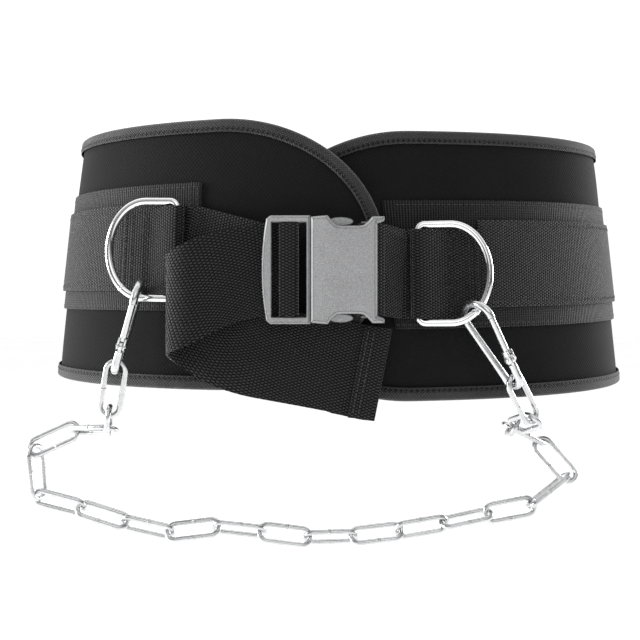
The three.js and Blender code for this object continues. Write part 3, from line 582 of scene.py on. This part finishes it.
middle_band_piece = cloth_grid(
    "coarse_middle_band",
    evenly(middle_from, middle_to, cloth_step),
    evenly(-middle_band_height / 2, middle_band_height / 2, 0.01),
    lambda along, across: on_band(along, across, over_band_out),
)
add_wall(middle_band_piece, band_wall)
middle_band_piece.data.materials.append(coarse_webbing())
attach(middle_band_piece, "belt")
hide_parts("middle_band")

middle_face = over_band_out + band_wall / 2
middle_rows = []
half_middle = middle_band_height / 2
for across in (-half_middle + middle_seam_inset, half_middle - middle_seam_inset):
    ends = (middle_from + 0.002, across), (middle_to - 0.002, across)
    middle_rows.append(seam_on(on_band, *ends, middle_face, zigzag_stitch))
thread_piece("middle_band_stitches", middle_rows, grey_thread)

# Ring loops: 50 mm webbing folded round the straight bar of each D-ring. Both of its legs are sewn
# through the bands, with the strap's end under them.
webbing_width = 0.05
webbing_wall = 0.0015
strap_column_pitch = 0.00175
same_place = 0.0001
loop_stitch = (0.0022, 0.0027, 0.0007)
ring_wire = 0.0046
left_ring_height = 0.005
right_ring_height = -0.0085
strap_out = over_band_out
loop_inner_out = strap_out + webbing_wall + layer_gap
loop_outer_out = loop_inner_out + webbing_wall + layer_gap
ring_out = loop_inner_out + webbing_wall / 2 + layer_gap + ring_wire / 2
loop_turn = ring_wire / 2 + layer_gap + webbing_wall / 2
left_bar = left_ring_reach
right_bar = waist_length - right_ring_reach


def sewn_station(along, out, middle):
    """A place of a sewn webbing's middle line, and how far it leans for each metre up."""
    height = middle - wrap_share(along) * lap_rise
    place = on_wrap(along, height, out)
    lean = (on_wrap(along, height + 0.001, out) - place) / 0.001 - up
    return place, lean


def webbing_through(stations, softness=1, hem_from=None):
    """A flat webbing along (place, lean) stations. Where it falls, its edges stay square to its
    run. In a hem, where it turns back on itself, its lean alone says how it slants."""
    last = len(stations) - 1
    marks = [0.0]
    for (a, _), (b, _) in zip(stations, stations[1:]):
        marks.append(marks[-1] + (b - a).xy.length)
    sides = []
    falls = []
    for i, (place, _) in enumerate(stations):
        before = stations[max(i - 1, 0)][0]
        after = stations[min(i + 1, last)][0]
        inward = (place - before).xy.normalized()
        onward = (after - place).xy.normalized()
        heading = (inward + onward).normalized()
        mitre = 1 / max(heading.dot(onward if i == 0 else inward), 0.5)
        sides.append(Vector((-heading.y, heading.x, 0)) * mitre)
        low = max(i - softness, 0)
        high = min(i + softness, last)
        fall = math.atan2(stations[high][0].z - stations[low][0].z, marks[high] - marks[low])
        falls.append(0 if hem_from and i >= hem_from else fall)

    def locate(mark):
        high = min(max(bisect.bisect_right(marks, mark), 1), last)
        return high, (mark - marks[high - 1]) / (marks[high] - marks[high - 1])

    def place(mark, across, out=0.0):
        high, part = locate(mark)
        fall = falls[high - 1] + (falls[high] - falls[high - 1]) * part
        lean = stations[high - 1][1].lerp(stations[high][1], part)
        level = stations[high - 1][0].z + (stations[high][0].z - stations[high - 1][0].z) * part
        high, part = locate(mark - across * math.sin(fall))
        spot = stations[high - 1][0].lerp(stations[high][0], part)
        side = sides[high - 1].lerp(sides[high], min(max(part, 0), 1))
        spot.z = level + across * math.cos(fall)
        return spot + lean * across + side * out

    return marks, place


def plain_webbing(name, dark, light):
    """Nylon webbing: a tight weave in columns, with a thicker woven edge."""
    material, start, along, across = cloth_surface(name, 0.25, 0.35)
    column, pick = woven(along, across, strap_column_pitch, row_pitch)
    edge = (across.size() * (2 / webbing_width)) ** 40
    fibres = speckle(start, 1500, 3)
    patches = speckle(start, 40, 4)
    share = column * 0.8 + pick * 0.55 + fibres * 0.3 + patches * 0.25 + edge * 0.2 - 0.6
    shade_between(start, dark, light, share).feeds("Base Color")
    (0.55 + fibres * 0.3).feeds("Roughness")
    raised(start, column + pick * 0.6 + fibres * 0.3 + edge, 0.0006).feeds("Normal")
    return material


strap_webbing = plain_webbing("strap_webbing", (0.0008, 0.0008, 0.0009), (0.05, 0.05, 0.052))
across_webbing = evenly(-webbing_width / 2, webbing_width / 2, cloth_step)


def webbing_piece(name, marks, place, node):
    piece = cloth_grid(name, marks, across_webbing, place)
    add_wall(piece, webbing_wall)
    piece.data.materials.append(strap_webbing)
    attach(piece, "belt")
    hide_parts(node)


def ring_loop(bar, away, middle):
    """The loop's stations, from under the ring round its bar and back over itself."""
    end = bar + away * loop_length
    stations = []
    for along in evenly(end, bar + away * 0.001, 0.004):
        stations.append(sewn_station(along, loop_inner_out, middle))
    for angle in range(-90, 91, 15):
        swing = math.radians(angle)
        along = bar - away * loop_turn * math.cos(swing)
        stations.append(sewn_station(along, ring_out + loop_turn * math.sin(swing), middle))
    for share in [i / 10 for i in range(1, 11)]:
        drop = min(1, share / 0.5)
        ease = 0.5 - 0.5 * math.cos(math.pi * drop)
        out = (ring_out + loop_turn) * (1 - ease) + loop_outer_out * ease
        stations.append(sewn_station(bar + away * loop_length * share, out, middle))
    return webbing_through(stations)


def loop_rows(bar, away, middle):
    """The seams through a ring loop: four zigzag rows up it and one along each edge."""

    def on_loop(along, across, out):
        height = middle + across - wrap_share(along) * lap_rise
        return on_wrap(along, height, out)

    face = loop_outer_out + webbing_wall / 2 + 0.0001
    half = webbing_width / 2 - 0.003
    seams = [bar + away * loop_length * share for share in (0.5, 0.58, 0.8, 0.92)]
    rows = []
    for along in seams:
        rows.append(((along, -half), (along, half)))
    for side in (-half, half):
        rows.append(((seams[0], side), (seams[-1], side)))
    return [seam_on(on_loop, start, end, face, loop_stitch) for start, end in rows]


left_loop_marks, left_loop_place = ring_loop(left_bar, 1, left_ring_height)
right_loop_marks, right_loop_place = ring_loop(right_bar, -1, right_ring_height)
webbing_piece("ring_loop_left_webbing", left_loop_marks, left_loop_place, "ring_loop_left")
webbing_piece("ring_loop_right_webbing", right_loop_marks, right_loop_place, "ring_loop_right")
loop_seams = loop_rows(left_bar, 1, left_ring_height) + loop_rows(right_bar, -1, right_ring_height)
thread_piece("ring_loop_stitches", loop_seams, black_thread)

# D-rings: 4.6 mm steel wire bent to a D, its ends butted and welded on the bow, and chromed. Each
# one's straight bar runs through its webbing loop, and its bow stands a little off the band.
ring_depth = 0.044
ring_corner = 0.004
ring_arm = 0.018
ring_lift = math.radians(12)
ring_weld_turn = 0.9
ring_half = webbing_width / 2 + layer_gap + ring_wire / 2
ring_bow_length = ring_depth - ring_wire - ring_arm


def ring_seat(bar, away, middle):
    """Where a ring lies: x from its bar to its bow, y up along the bar."""
    place, lean = sewn_station(bar, ring_out, middle)
    to_bow = sewn_station(bar + away * 0.001, ring_out, middle)[0] - place
    to_bow = Vector((to_bow.x, to_bow.y, 0)).normalized()
    y = (up + lean).normalized()
    outward = (to_bow.cross(y) * -away).normalized()
    x = to_bow * math.cos(ring_lift) + outward * math.sin(ring_lift)
    z = x.cross(y).normalized()
    x = y.cross(z)
    return Matrix.Translation(place) @ Matrix((x, y, z)).transposed().to_4x4()


def ring_line():
    line = []
    for angle in range(180, 271, 15):
        swing = math.radians(angle)
        low = ring_corner * math.sin(swing) - ring_half + ring_corner
        line.append(Vector((ring_corner * (1 + math.cos(swing)), low, 0)))
    for angle in range(-90, 91, 5):
        swing = math.radians(angle)
        reach = ring_arm + ring_bow_length * math.cos(swing)
        line.append(Vector((reach, ring_half * math.sin(swing), 0)))
    for angle in range(90, 181, 15):
        swing = math.radians(angle)
        high = ring_corner * math.sin(swing) + ring_half - ring_corner
        line.append(Vector((ring_corner * (1 + math.cos(swing)), high, 0)))
    return line


def add_wire(bm, line, wire, closed, seat, corners=4):
    """Bends a round wire along a line and adds it to a mesh."""
    curve = bpy.data.curves.new("wire", "CURVE")
    curve.dimensions = "3D"
    curve.bevel_depth = wire / 2
    curve.bevel_resolution = corners
    curve.use_fill_caps = not closed
    spline = curve.splines.new("POLY")
    spline.points.add(len(line) - 1)
    for point, spot in zip(spline.points, line):
        point.co = (*(seat @ spot), 1)
    spline.use_cyclic_u = closed
    bent = bpy.data.objects.new("wire", curve)
    bpy.context.scene.collection.objects.link(bent)
    graph = bpy.context.evaluated_depsgraph_get()
    shape = bpy.data.meshes.new_from_object(bent.evaluated_get(graph))
    bm.from_mesh(shape)
    bpy.data.objects.remove(bent)
    bpy.data.curves.remove(curve)
    bpy.data.meshes.remove(shape)


def metal_piece(name, bm, material, node, body):
    bmesh.ops.remove_doubles(bm, verts=bm.verts, dist=1e-6)
    bmesh.ops.recalc_face_normals(bm, faces=bm.faces)
    for face in bm.faces:
        face.smooth = True
    mesh = bpy.data.meshes.new(name)
    bm.to_mesh(mesh)
    bm.free()
    mesh.set_sharp_from_angle(angle=math.radians(40))
    piece = bpy.data.objects.new(name, mesh)
    bpy.context.scene.collection.objects.link(piece)
    piece.data.materials.append(material)
    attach(piece, body)
    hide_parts(node)


def plated_steel(name, dark, light, roughness, waver):
    """Plated wire: bright, with faint drawing lines and small dull spots."""
    material, start = surface(name, {"Metallic": 1.0})
    drawn = speckle(start, 420, 4)
    dull = speckle(start, 90, 3)
    pits = speckle(start, 1700, 2)
    shade_between(start, dark, light, drawn * 0.5 + dull * 0.6).feeds("Base Color")
    (roughness + drawn * waver + dull * waver).feeds("Roughness")
    raised(start, pits * 0.4 + drawn, 0.000015).feeds("Normal")
    return material


ring_chrome = plated_steel("ring_chrome", (0.62, 0.62, 0.63), (0.93, 0.93, 0.94), 0.03, 0.08)
left_seat = ring_seat(left_bar, 1, left_ring_height)
right_seat = ring_seat(right_bar, -1, right_ring_height)
for ring_side, seat in (("left", left_seat), ("right", right_seat)):
    ring = bmesh.new()
    add_wire(ring, ring_line(), ring_wire, True, seat)
    weld_x = ring_arm + ring_bow_length * math.cos(ring_weld_turn)
    weld = Vector((weld_x, -ring_half * math.sin(ring_weld_turn), 0))
    bmesh.ops.create_uvsphere(
        ring,
        u_segments=16,
        v_segments=10,
        radius=0.5,
        matrix=seat @ Matrix.Translation(weld) @ Matrix.Diagonal((0.0052, 0.0052, 0.0050, 1)),
    )
    ring_node = f"d_ring_{ring_side}"
    metal_piece(f"{ring_node}_wire", ring, ring_chrome, ring_node, "belt")

# Buckle: a side-release buckle moulded in grey nylon. The ladder frame's two sprung prongs snap
# into the housing, and their buttons show in its side scoops. Its surface is finely grained.
buckle_x = -0.0139
buckle_z = -0.0065
buckle_length = 0.0594
buckle_height = 0.0585
buckle_depth = 0.013
buckle_clearance = 0.0028
ladder_length = 0.0234
ladder_depth = 0.006
ladder_bar = 0.0052
ladder_bow = 0.0028
tuck_bar_width = 0.007
tuck_bar_depth = 0.0038
body_wall = 0.0021
ear_length = 0.0038
anchor_bar_radius = 0.0021
anchor_inset = 0.0065
half_buckle = buckle_height / 2
binding_front = on_wrap(0, buckle_z - half_buckle, binding_leg).y
buckle_middle_y = binding_front - buckle_clearance - buckle_depth / 2
ladder_left = buckle_x - buckle_length / 2
ladder_right = ladder_left + ladder_length
body_right = buckle_x + buckle_length / 2
ladder_back_y = buckle_middle_y + ladder_depth / 2 - 0.0015
anchor_x = body_right - anchor_inset
anchor_turn = anchor_bar_radius + layer_gap + webbing_wall / 2


def moulded_nylon():
    material, start = surface("moulded_nylon", {"Specular IOR Level": 0.45})
    grain = speckle(start, 2000, 4)
    flow = speckle(start, 60, 3)
    flat = start.node("ShaderNodeNewGeometry", outputs=("Normal",))
    soft = start.node("ShaderNodeBevel", {"samples": 8}, {"Radius": 0.0009})
    facing = start.node(
        "ShaderNodeVectorMath", {"operation": "DOT_PRODUCT"}, {0: flat, 1: soft}, ("Value",)
    )
    # Where the bevel's soft normal turns away from the flat one, at the rounded edges, the colour
    # is painted darker: painted shade along the buckle's rims.
    painted_rim_shade = (1 - facing) * 14.0
    share = grain * 1.5 + flow * 0.3 - painted_rim_shade - 0.3
    shade_between(start, (0.1, 0.1, 0.103), (0.44, 0.442, 0.448), share).feeds("Base Color")
    (0.36 + grain * 0.22).feeds("Roughness")
    raised(start, grain, 0.00006, soft).feeds("Normal")
    return material


buckle_nylon = moulded_nylon()
for node_name in ("buckle_body", "buckle_frame"):
    part = frame["nodes"][node_name]
    part.data.materials.clear()
    part.data.materials.append(buckle_nylon)

# Front strap: 50 mm webbing sewn under the left loop. It runs behind the ladder frame, over its bar
# and back out, and its free tail turns under to the right, ending in a folded and sewn hem.
strap_sewn_length = 0.02
tail_reach = 0.078
tail_fold_radius = 0.0065
tail_fold_length = 0.012
tail_end_reach = 0.032
tail_drop = 0.058
hem_length = 0.013
hem_slant = 0.2
hem_start = 0.84
hem_stitch = (0.0029, 0.0022, 0)
hem_seam_inset = 0.0025
hem_seams = (0.0022, 0.0052)
tail_leave = 0.66
tail_enter = 0.75
tail_settle = 0.4
lean_start = 0.42
lean_length = 0.16
rest_share = 0.85
tail_fall = [
    (0.00, 0.00),
    (0.21, 0.00),
    (0.27, 0.04),
    (0.33, 0.11),
    (0.37, 0.19),
    (0.40, 0.27),
    (0.44, 0.33),
    (0.49, 0.40),
    (0.52, 0.50),
    (0.56, 0.62),
    (0.59, 0.69),
    (0.64, 0.76),
    (0.76, 0.85),
    (0.86, 0.93),
    (0.93, 1.00),
    (1.00, 0.95),
]
window_left = ladder_left - ladder_bow + ladder_bar
window_right = ladder_right - body_wall
tuck_bar_x = (window_left + window_right) / 2
tuck_bar_y = ladder_back_y - ladder_depth + 0.001 + tuck_bar_depth / 2
bar_turn = layer_gap + webbing_wall / 2
tail_y = ladder_back_y + bar_turn
load_y = tail_y + webbing_wall + layer_gap
tuck_left = tuck_bar_x - tuck_bar_width / 2 - bar_turn
tuck_right = tuck_bar_x + tuck_bar_width / 2 + bar_turn
tuck_front = tuck_bar_y - tuck_bar_depth / 2 - bar_turn
rest_binding = on_wrap(0, buckle_z - rest_share * tail_drop, binding_leg).y
tail_rest = rest_binding - bar_turn - 3 * layer_gap
tuck_round = 0.0012


def arc(x, y, radius, start, end, length=None):
    """Points of an arc from one angle to another, in degrees; a length along X makes it an oval."""
    count = max(4, round(abs(end - start) / 15))
    turns = [math.radians(start + (end - start) * i / count) for i in range(count + 1)]
    reach = length or radius
    return [Vector((x + reach * math.cos(turn), y + radius * math.sin(turn), 0)) for turn in turns]


def smooth_fall(share):
    """The tail's fall by the share of its length, eased where its rows meet."""
    total = 0
    for nudge in (-0.024, -0.012, 0, 0.012, 0.024):
        at = min(max(share + nudge, 0), 1)
        reached = (i for i, row in enumerate(tail_fall) if row[0] >= at)
        high = max(1, next(reached, len(tail_fall) - 1))
        low_share, low = tail_fall[high - 1]
        high_share, top = tail_fall[high]
        total += low + (top - low) * (at - low_share) / (high_share - low_share)
    return total / 5


def filled(path, step):
    """The path's points with more between those that are far apart."""
    points = [path[0]]
    for spot in path[1:]:
        start = points[-1]
        count = math.ceil((spot - start).length / step)
        points += [start.lerp(spot, (i + 1) / count) for i in range(count)]
    return points


def front_strap_stations():
    stations = []
    along = left_bar + strap_sewn_length
    while along > left_bar - 2 * ring_wire:
        stations.append(sewn_station(along, strap_out, left_ring_height))
        along -= ring_wire / 2
    fold_x = buckle_x - tail_reach + tail_fold_length - tail_fold_radius
    end_x = buckle_x + tail_end_reach
    hem_turn = (webbing_wall + layer_gap) / 2
    path = [Vector((window_left - ladder_bar, load_y, 0))]
    path += arc(tuck_right - tuck_round, load_y - tuck_round, tuck_round, 90, 0)
    path += arc(tuck_right - tuck_round, tuck_front + tuck_round, tuck_round, 0, -90)
    path += arc(tuck_left + tuck_round, tuck_front + tuck_round, tuck_round, -90, -180)
    path += arc(tuck_left - tuck_round, tail_y - tuck_round, tuck_round, 0, 90)
    path.append(Vector((window_left - ladder_bar, tail_y, 0)))
    path.append(Vector((buckle_x - tail_leave * tail_reach, tail_y - tail_fold_radius / 2, 0)))
    path += arc(fold_x, tail_y, tail_fold_radius, 270, 90, tail_fold_length)
    behind_y = (tail_y + tail_fold_radius + tail_rest) / 2
    path.append(Vector((buckle_x - tail_enter * tail_reach, behind_y, 0)))
    path.append(Vector((buckle_x - tail_settle * tail_reach, tail_rest, 0)))
    path.append(Vector((end_x - hem_length, tail_rest, 0)))
    path += arc(end_x, tail_rest - hem_turn, hem_turn, 90, -90)
    path.append(Vector((end_x - hem_length, tail_rest - 2 * hem_turn, 0)))
    path = filled(path, 0.003)
    travelled = [0.0]
    for a, b in zip(path, path[1:]):
        travelled.append(travelled[-1] + (b - a).length)
    hem_from = None
    for spot, reach in zip(path, travelled):
        share = reach / travelled[-1]
        leaning = min(max((share - lean_start) / lean_length, 0), 1)
        if share > hem_start and not hem_from:
            hem_from = len(stations)
        lean = Vector((hem_slant if hem_from else 0, flare_front * leaning, 0))
        place = Vector((spot.x, spot.y, buckle_z - tail_drop * smooth_fall(share)))
        if (place - stations[-1][0]).length > same_place:
            stations.append((place, lean))
    return stations, hem_from


front_stations, hem_from = front_strap_stations()
front_marks, front_place = webbing_through(front_stations, 3, hem_from)
webbing_piece("front_strap_webbing", front_marks, front_place, "front_strap")
strap_face = webbing_wall / 2 + 0.0001
hem_rows = []
for inset in hem_seams:
    seam_at = front_marks[-1] - inset
    seam_half = webbing_width / 2 - hem_seam_inset
    ends = (seam_at, -seam_half), (seam_at, seam_half)
    hem_rows.append(seam_on(front_place, *ends, strap_face, hem_stitch))
thread_piece("hem_stitches", hem_rows, grey_thread)

# Buckle strap: a short 50 mm webbing, sewn under the right loop. It goes in behind the housing's
# bar, turns round it and ends just outside the housing again.


def buckle_strap_stations():
    stations = []
    along = right_bar - strap_sewn_length
    while along < right_bar + 2 * ring_wire:
        stations.append(sewn_station(along, strap_out, right_ring_height))
        along += ring_wire / 2
    path = [Vector((body_right + ear_length, buckle_middle_y + anchor_turn, 0))]
    path.append(Vector((body_right, buckle_middle_y + anchor_turn, 0)))
    path += arc(anchor_x, buckle_middle_y, anchor_turn, 90, 270)
    path.append(Vector((body_right, buckle_middle_y - anchor_turn, 0)))
    path.append(Vector((body_right + ear_length, buckle_middle_y - anchor_turn / 2, 0)))
    for spot in path:
        place = Vector((spot.x, spot.y, buckle_z))
        if (place - stations[-1][0]).length > same_place:
            stations.append((place, Vector()))
    return stations


short_marks, short_place = webbing_through(buckle_strap_stations())
webbing_piece("buckle_strap_webbing", short_marks, short_place, "buckle_strap")

# Snap hooks: 4.5 mm zinc-plated wire bent to a pear, its end flattened to an eye. A sprung wire
# gate turns on a pin through the eye and closes against the hook's nose.
hook_wire = 0.0045
hook_length = 0.056
hook_wide = 0.025
hook_narrow = 0.0145
gate_wire = 0.0036
gate_start = 0.06
gate_end = 0.74
eye_wall = 0.002
eye_radius = 0.0029
cheek_wall = 0.001
pin_radius = 0.001
nose_gap = 0.0004
hook_top = (hook_wide - hook_wire) / 2
hook_low = (hook_narrow - hook_wire) / 2
hook_span = hook_length - hook_wire - hook_top - hook_low
hook_slope = math.asin((hook_top - hook_low) / hook_span)


def side_of_hook(side, share):
    out = Vector((side * math.cos(hook_slope), math.sin(hook_slope), 0))
    return (out * hook_top).lerp(out * hook_low + Vector((0, -hook_span, 0)), share)


gate_nose = side_of_hook(1, gate_start)
gate_hinge = side_of_hook(1, gate_end)
gate_way = (gate_nose - gate_hinge).normalized()
eye_clear = eye_radius + layer_gap
eye_width = 2 * eye_radius - 0.0016
hook_zinc = plated_steel("hook_zinc", (0.42, 0.425, 0.43), (0.78, 0.785, 0.79), 0.12, 0.12)


def hook_line():
    line = [gate_nose, side_of_hook(1, 0)]
    slope = math.degrees(hook_slope)
    for angle in evenly(slope, 180 - slope, 8)[1:-1]:
        swing = math.radians(angle)
        line.append(Vector((math.cos(swing), math.sin(swing), 0)) * hook_top)
    line += [side_of_hook(-1, share) for share in (0, 0.25, 0.5, 0.75, 1)]
    for angle in evenly(180 - slope, 360 + slope, 12)[1:-1]:
        swing = math.radians(angle)
        line.append(Vector((math.cos(swing) * hook_low, math.sin(swing) * hook_low - hook_span, 0)))
    line += [side_of_hook(1, 1), gate_hinge - gate_way * eye_clear]
    return line


def add_disc(bm, seat, spot, radius, low, high):
    """A round flat piece across the hook, from one depth to another."""
    place = Matrix.Translation(Vector((spot.x, spot.y, (low + high) / 2)))
    made = bmesh.ops.create_cone(
        bm,
        cap_ends=True,
        segments=32,
        radius1=radius,
        radius2=radius,
        depth=high - low,
        matrix=seat @ place,
    )
    rims = {e for v in made["verts"] for e in v.link_edges if e.calc_face_angle(0) > 1}
    bmesh.ops.bevel(
        bm,
        geom=list(rims),
        offset=min(0.0003, (high - low) / 4),
        segments=2,
        profile=0.5,
        affect="EDGES",
        material=-1,
    )


def add_bar(bm, seat, start, end, width, low, high):
    """A flat piece in the hook's plane, along the gate's line from the hinge."""
    turn = Matrix.Rotation(math.atan2(-gate_way.x, gate_way.y), 4, "Z")
    middle = gate_hinge + gate_way * ((start + end) / 2)
    place = Matrix.Translation(Vector((middle.x, middle.y, (low + high) / 2)))
    size = Matrix.Diagonal((width, end - start, high - low, 1))
    made = bmesh.ops.create_cube(bm, size=1, matrix=seat @ place @ turn @ size)
    edges = {e for v in made["verts"] for e in v.link_edges}
    bmesh.ops.bevel(
        bm, geom=list(edges), offset=0.00025, segments=2, profile=0.5, affect="EDGES", material=-1
    )


def hook_seat(side):
    """The hook's place, read from its gate: the pin's axis and the gate's own direction."""
    joint = next(j for j in frame["joints"] if j["name"] == f"gate_{side}_hinge")
    pin = Vector(joint["pos_m"])
    z = Vector(joint["axis"]).normalized()
    reaches = [v.co - pin for v in frame["nodes"][f"gate_{side}"].data.vertices]
    longest = max(reach.length for reach in reaches)
    far = [reach for reach in reaches if reach.length > 0.93 * longest]
    way = sum(far, Vector()) / len(far)
    way = (way - z * way.dot(z)).normalized()
    beside = way.cross(z)
    y = way * gate_way.y - beside * gate_way.x
    x = way * gate_way.x + beside * gate_way.y
    turn = Matrix((x, y, z)).transposed().to_4x4()
    return Matrix.Translation(pin) @ turn @ Matrix.Translation(-gate_hinge)


for hook_side in ("left", "right"):
    seat = hook_seat(hook_side)
    body = bmesh.new()
    add_wire(body, hook_line(), hook_wire, False, seat, 6)
    add_disc(body, seat, gate_hinge, eye_radius, -eye_wall / 2, eye_wall / 2)
    add_bar(body, seat, -2 * eye_clear, 0, eye_width, -eye_wall / 2, eye_wall / 2)
    metal_piece(f"hook_{hook_side}_body", body, hook_zinc, f"hook_{hook_side}", "belt")
    gate = bmesh.new()
    ends = [gate_hinge + gate_way * eye_clear, gate_nose - gate_way * nose_gap]
    add_wire(gate, ends, gate_wire, False, seat, 6)
    cheek = eye_wall / 2 + layer_gap
    for low in (-cheek - cheek_wall, cheek):
        add_disc(gate, seat, gate_hinge, eye_radius - 0.0004, low, low + cheek_wall)
        add_bar(gate, seat, 0, eye_clear + 0.002, eye_width, low, low + cheek_wall)
    pin_end = cheek + cheek_wall + 0.0005
    add_disc(gate, seat, gate_hinge, pin_radius, -pin_end, pin_end)
    gate_node = f"gate_{hook_side}"
    metal_piece(f"{gate_node}_wire", gate, hook_zinc, gate_node, gate_node)

# Chain: 22 long links of 3.2 mm zinc-plated wire, each closed by a weld in the middle of one side.
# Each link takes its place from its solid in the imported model.
link_wire = 0.0032
link_inner_length = 0.0288
link_inner_width = 0.0078
link_radius = (link_inner_width + link_wire) / 2
link_straight = (link_inner_length + link_wire) / 2 - link_radius
chain_zinc = plated_steel("chain_zinc", (0.36, 0.365, 0.37), (0.74, 0.745, 0.75), 0.14, 0.14)


def link_line():
    line = []
    for end in (1, -1):
        for angle in range(-90, 91, 10):
            swing = math.radians(angle)
            reach = link_straight + link_radius * math.cos(swing)
            line.append(Vector((reach, link_radius * math.sin(swing), 0)) * end)
    return line


def link_seat(node):
    """A link's place, read from its solid: its long way, its wide way and its flat one."""
    spots = [v.co.copy() for v in frame["nodes"][node].data.vertices]
    low = Vector([min(s[k] for s in spots) for k in range(3)])
    high = Vector([max(s[k] for s in spots) for k in range(3)])
    centre = (low + high) / 2
    reaches = [spot - centre for spot in spots]
    long_way = max(reaches, key=lambda reach: reach.length)
    tips = [reach for reach in reaches if reach.dot(long_way) > 0.985 * long_way.length_squared]
    x = (sum(tips, Vector()) / len(tips)).normalized()
    aside = [reach - x * reach.dot(x) for reach in reaches]
    wide = max(aside, key=lambda reach: reach.length)
    rims = [a for a in aside if a.dot(wide) > 0.97 * wide.length_squared]
    y = (sum(rims, Vector()) / len(rims)).normalized()
    z = x.cross(y).normalized()
    turn = Matrix((x, z.cross(x), z)).transposed().to_4x4()
    return Matrix.Translation(centre) @ turn


for link_number in range(1, 23):
    link_node = f"chain_link_{link_number:02d}"
    seat = link_seat(link_node)
    link = bmesh.new()
    add_wire(link, link_line(), link_wire, True, seat, 3)
    bmesh.ops.create_uvsphere(
        link,
        u_segments=14,
        v_segments=10,
        radius=0.5,
        matrix=seat
        @ Matrix.Translation((0.0008, link_radius, 0))
        @ Matrix.Diagonal((0.0034, link_wire * 1.14, link_wire * 1.14, 1)),
    )
    metal_piece(f"{link_node}_wire", link, chain_zinc, link_node, "belt")

# Studio: a pale floor well under the belt, soft light from all round, brightest at the back, and a
# camera level with the belt.
floor_mesh = bpy.data.meshes.new("floor")
floor_shape = bmesh.new()
bmesh.ops.create_grid(floor_shape, x_segments=1, y_segments=1, size=6)
bmesh.ops.translate(floor_shape, verts=floor_shape.verts, vec=(0, 0, -0.45))
floor_shape.to_mesh(floor_mesh)
floor_shape.free()
floor = bpy.data.objects.new("studio_floor", floor_mesh)
bpy.context.scene.collection.objects.link(floor)
pale_floor, floor_start = surface("pale_floor", {"Specular IOR Level": 0.1})
dust = speckle(floor_start, 3, 2)
shade_between(floor_start, (0.86, 0.86, 0.86), (0.9, 0.9, 0.9), dust).feeds("Base Color")
(0.8 + dust * 0.1).feeds("Roughness")
floor.data.materials.append(pale_floor)

world = bpy.data.worlds.new("studio")
world.use_nodes = True
sky = Socket(world.node_tree)
towards = sky.node("ShaderNodeTexCoord", outputs=("Generated",))
depth, height = sky.node("ShaderNodeSeparateXYZ", inputs={"Vector": towards}, outputs=("Y", "Z"))
turned_back = {"Value": depth, "From Min": -0.1, "From Max": 0.25}
back_wall = sky.node("ShaderNodeMapRange", inputs=turned_back)
ceiling = height.maths("MAXIMUM", height, 0)
glow = back_wall * 0.92 + ceiling * 0.9 + 0.1
world.node_tree.nodes["Background"].inputs["Color"].default_value = (1, 1, 1, 1)
sky.tree.links.new(glow.output, world.node_tree.nodes["Background"].inputs["Strength"])
bpy.context.scene.world = world
bpy.context.scene.view_settings.view_transform = "Standard"


def soft_light(name, place, target, size, power):
    lamp = bpy.data.lights.new(name, "AREA")
    lamp.shape = "DISK"
    lamp.size = size
    lamp.energy = power
    light = bpy.data.objects.new(name, lamp)
    light.location = place
    light.rotation_euler = (Vector(target) - Vector(place)).to_track_quat("-Z", "Y").to_euler()
    bpy.context.scene.collection.objects.link(light)


soft_light("left", (-1.5, -0.1, 0.2), (0, -0.05, 0), 0.8, 32)
soft_light("right", (1.4, 0.7, 0.2), (0, -0.05, 0), 0.8, 22)
soft_light("front", (0.1, -1.5, 0.7), (0, -0.1, 0), 1.2, 3.7)

lens = bpy.data.cameras.new("camera")
lens.sensor_width = 36
lens.lens = 48.6
lens.shift_y = -0.0625
lens.clip_start = 0.01
camera = bpy.data.objects.new("camera", lens)
camera.location = (-0.015, -0.605, -0.012)
camera.rotation_euler = (math.radians(90), 0, 0)
bpy.context.scene.collection.objects.link(camera)
bpy.context.scene.camera = camera
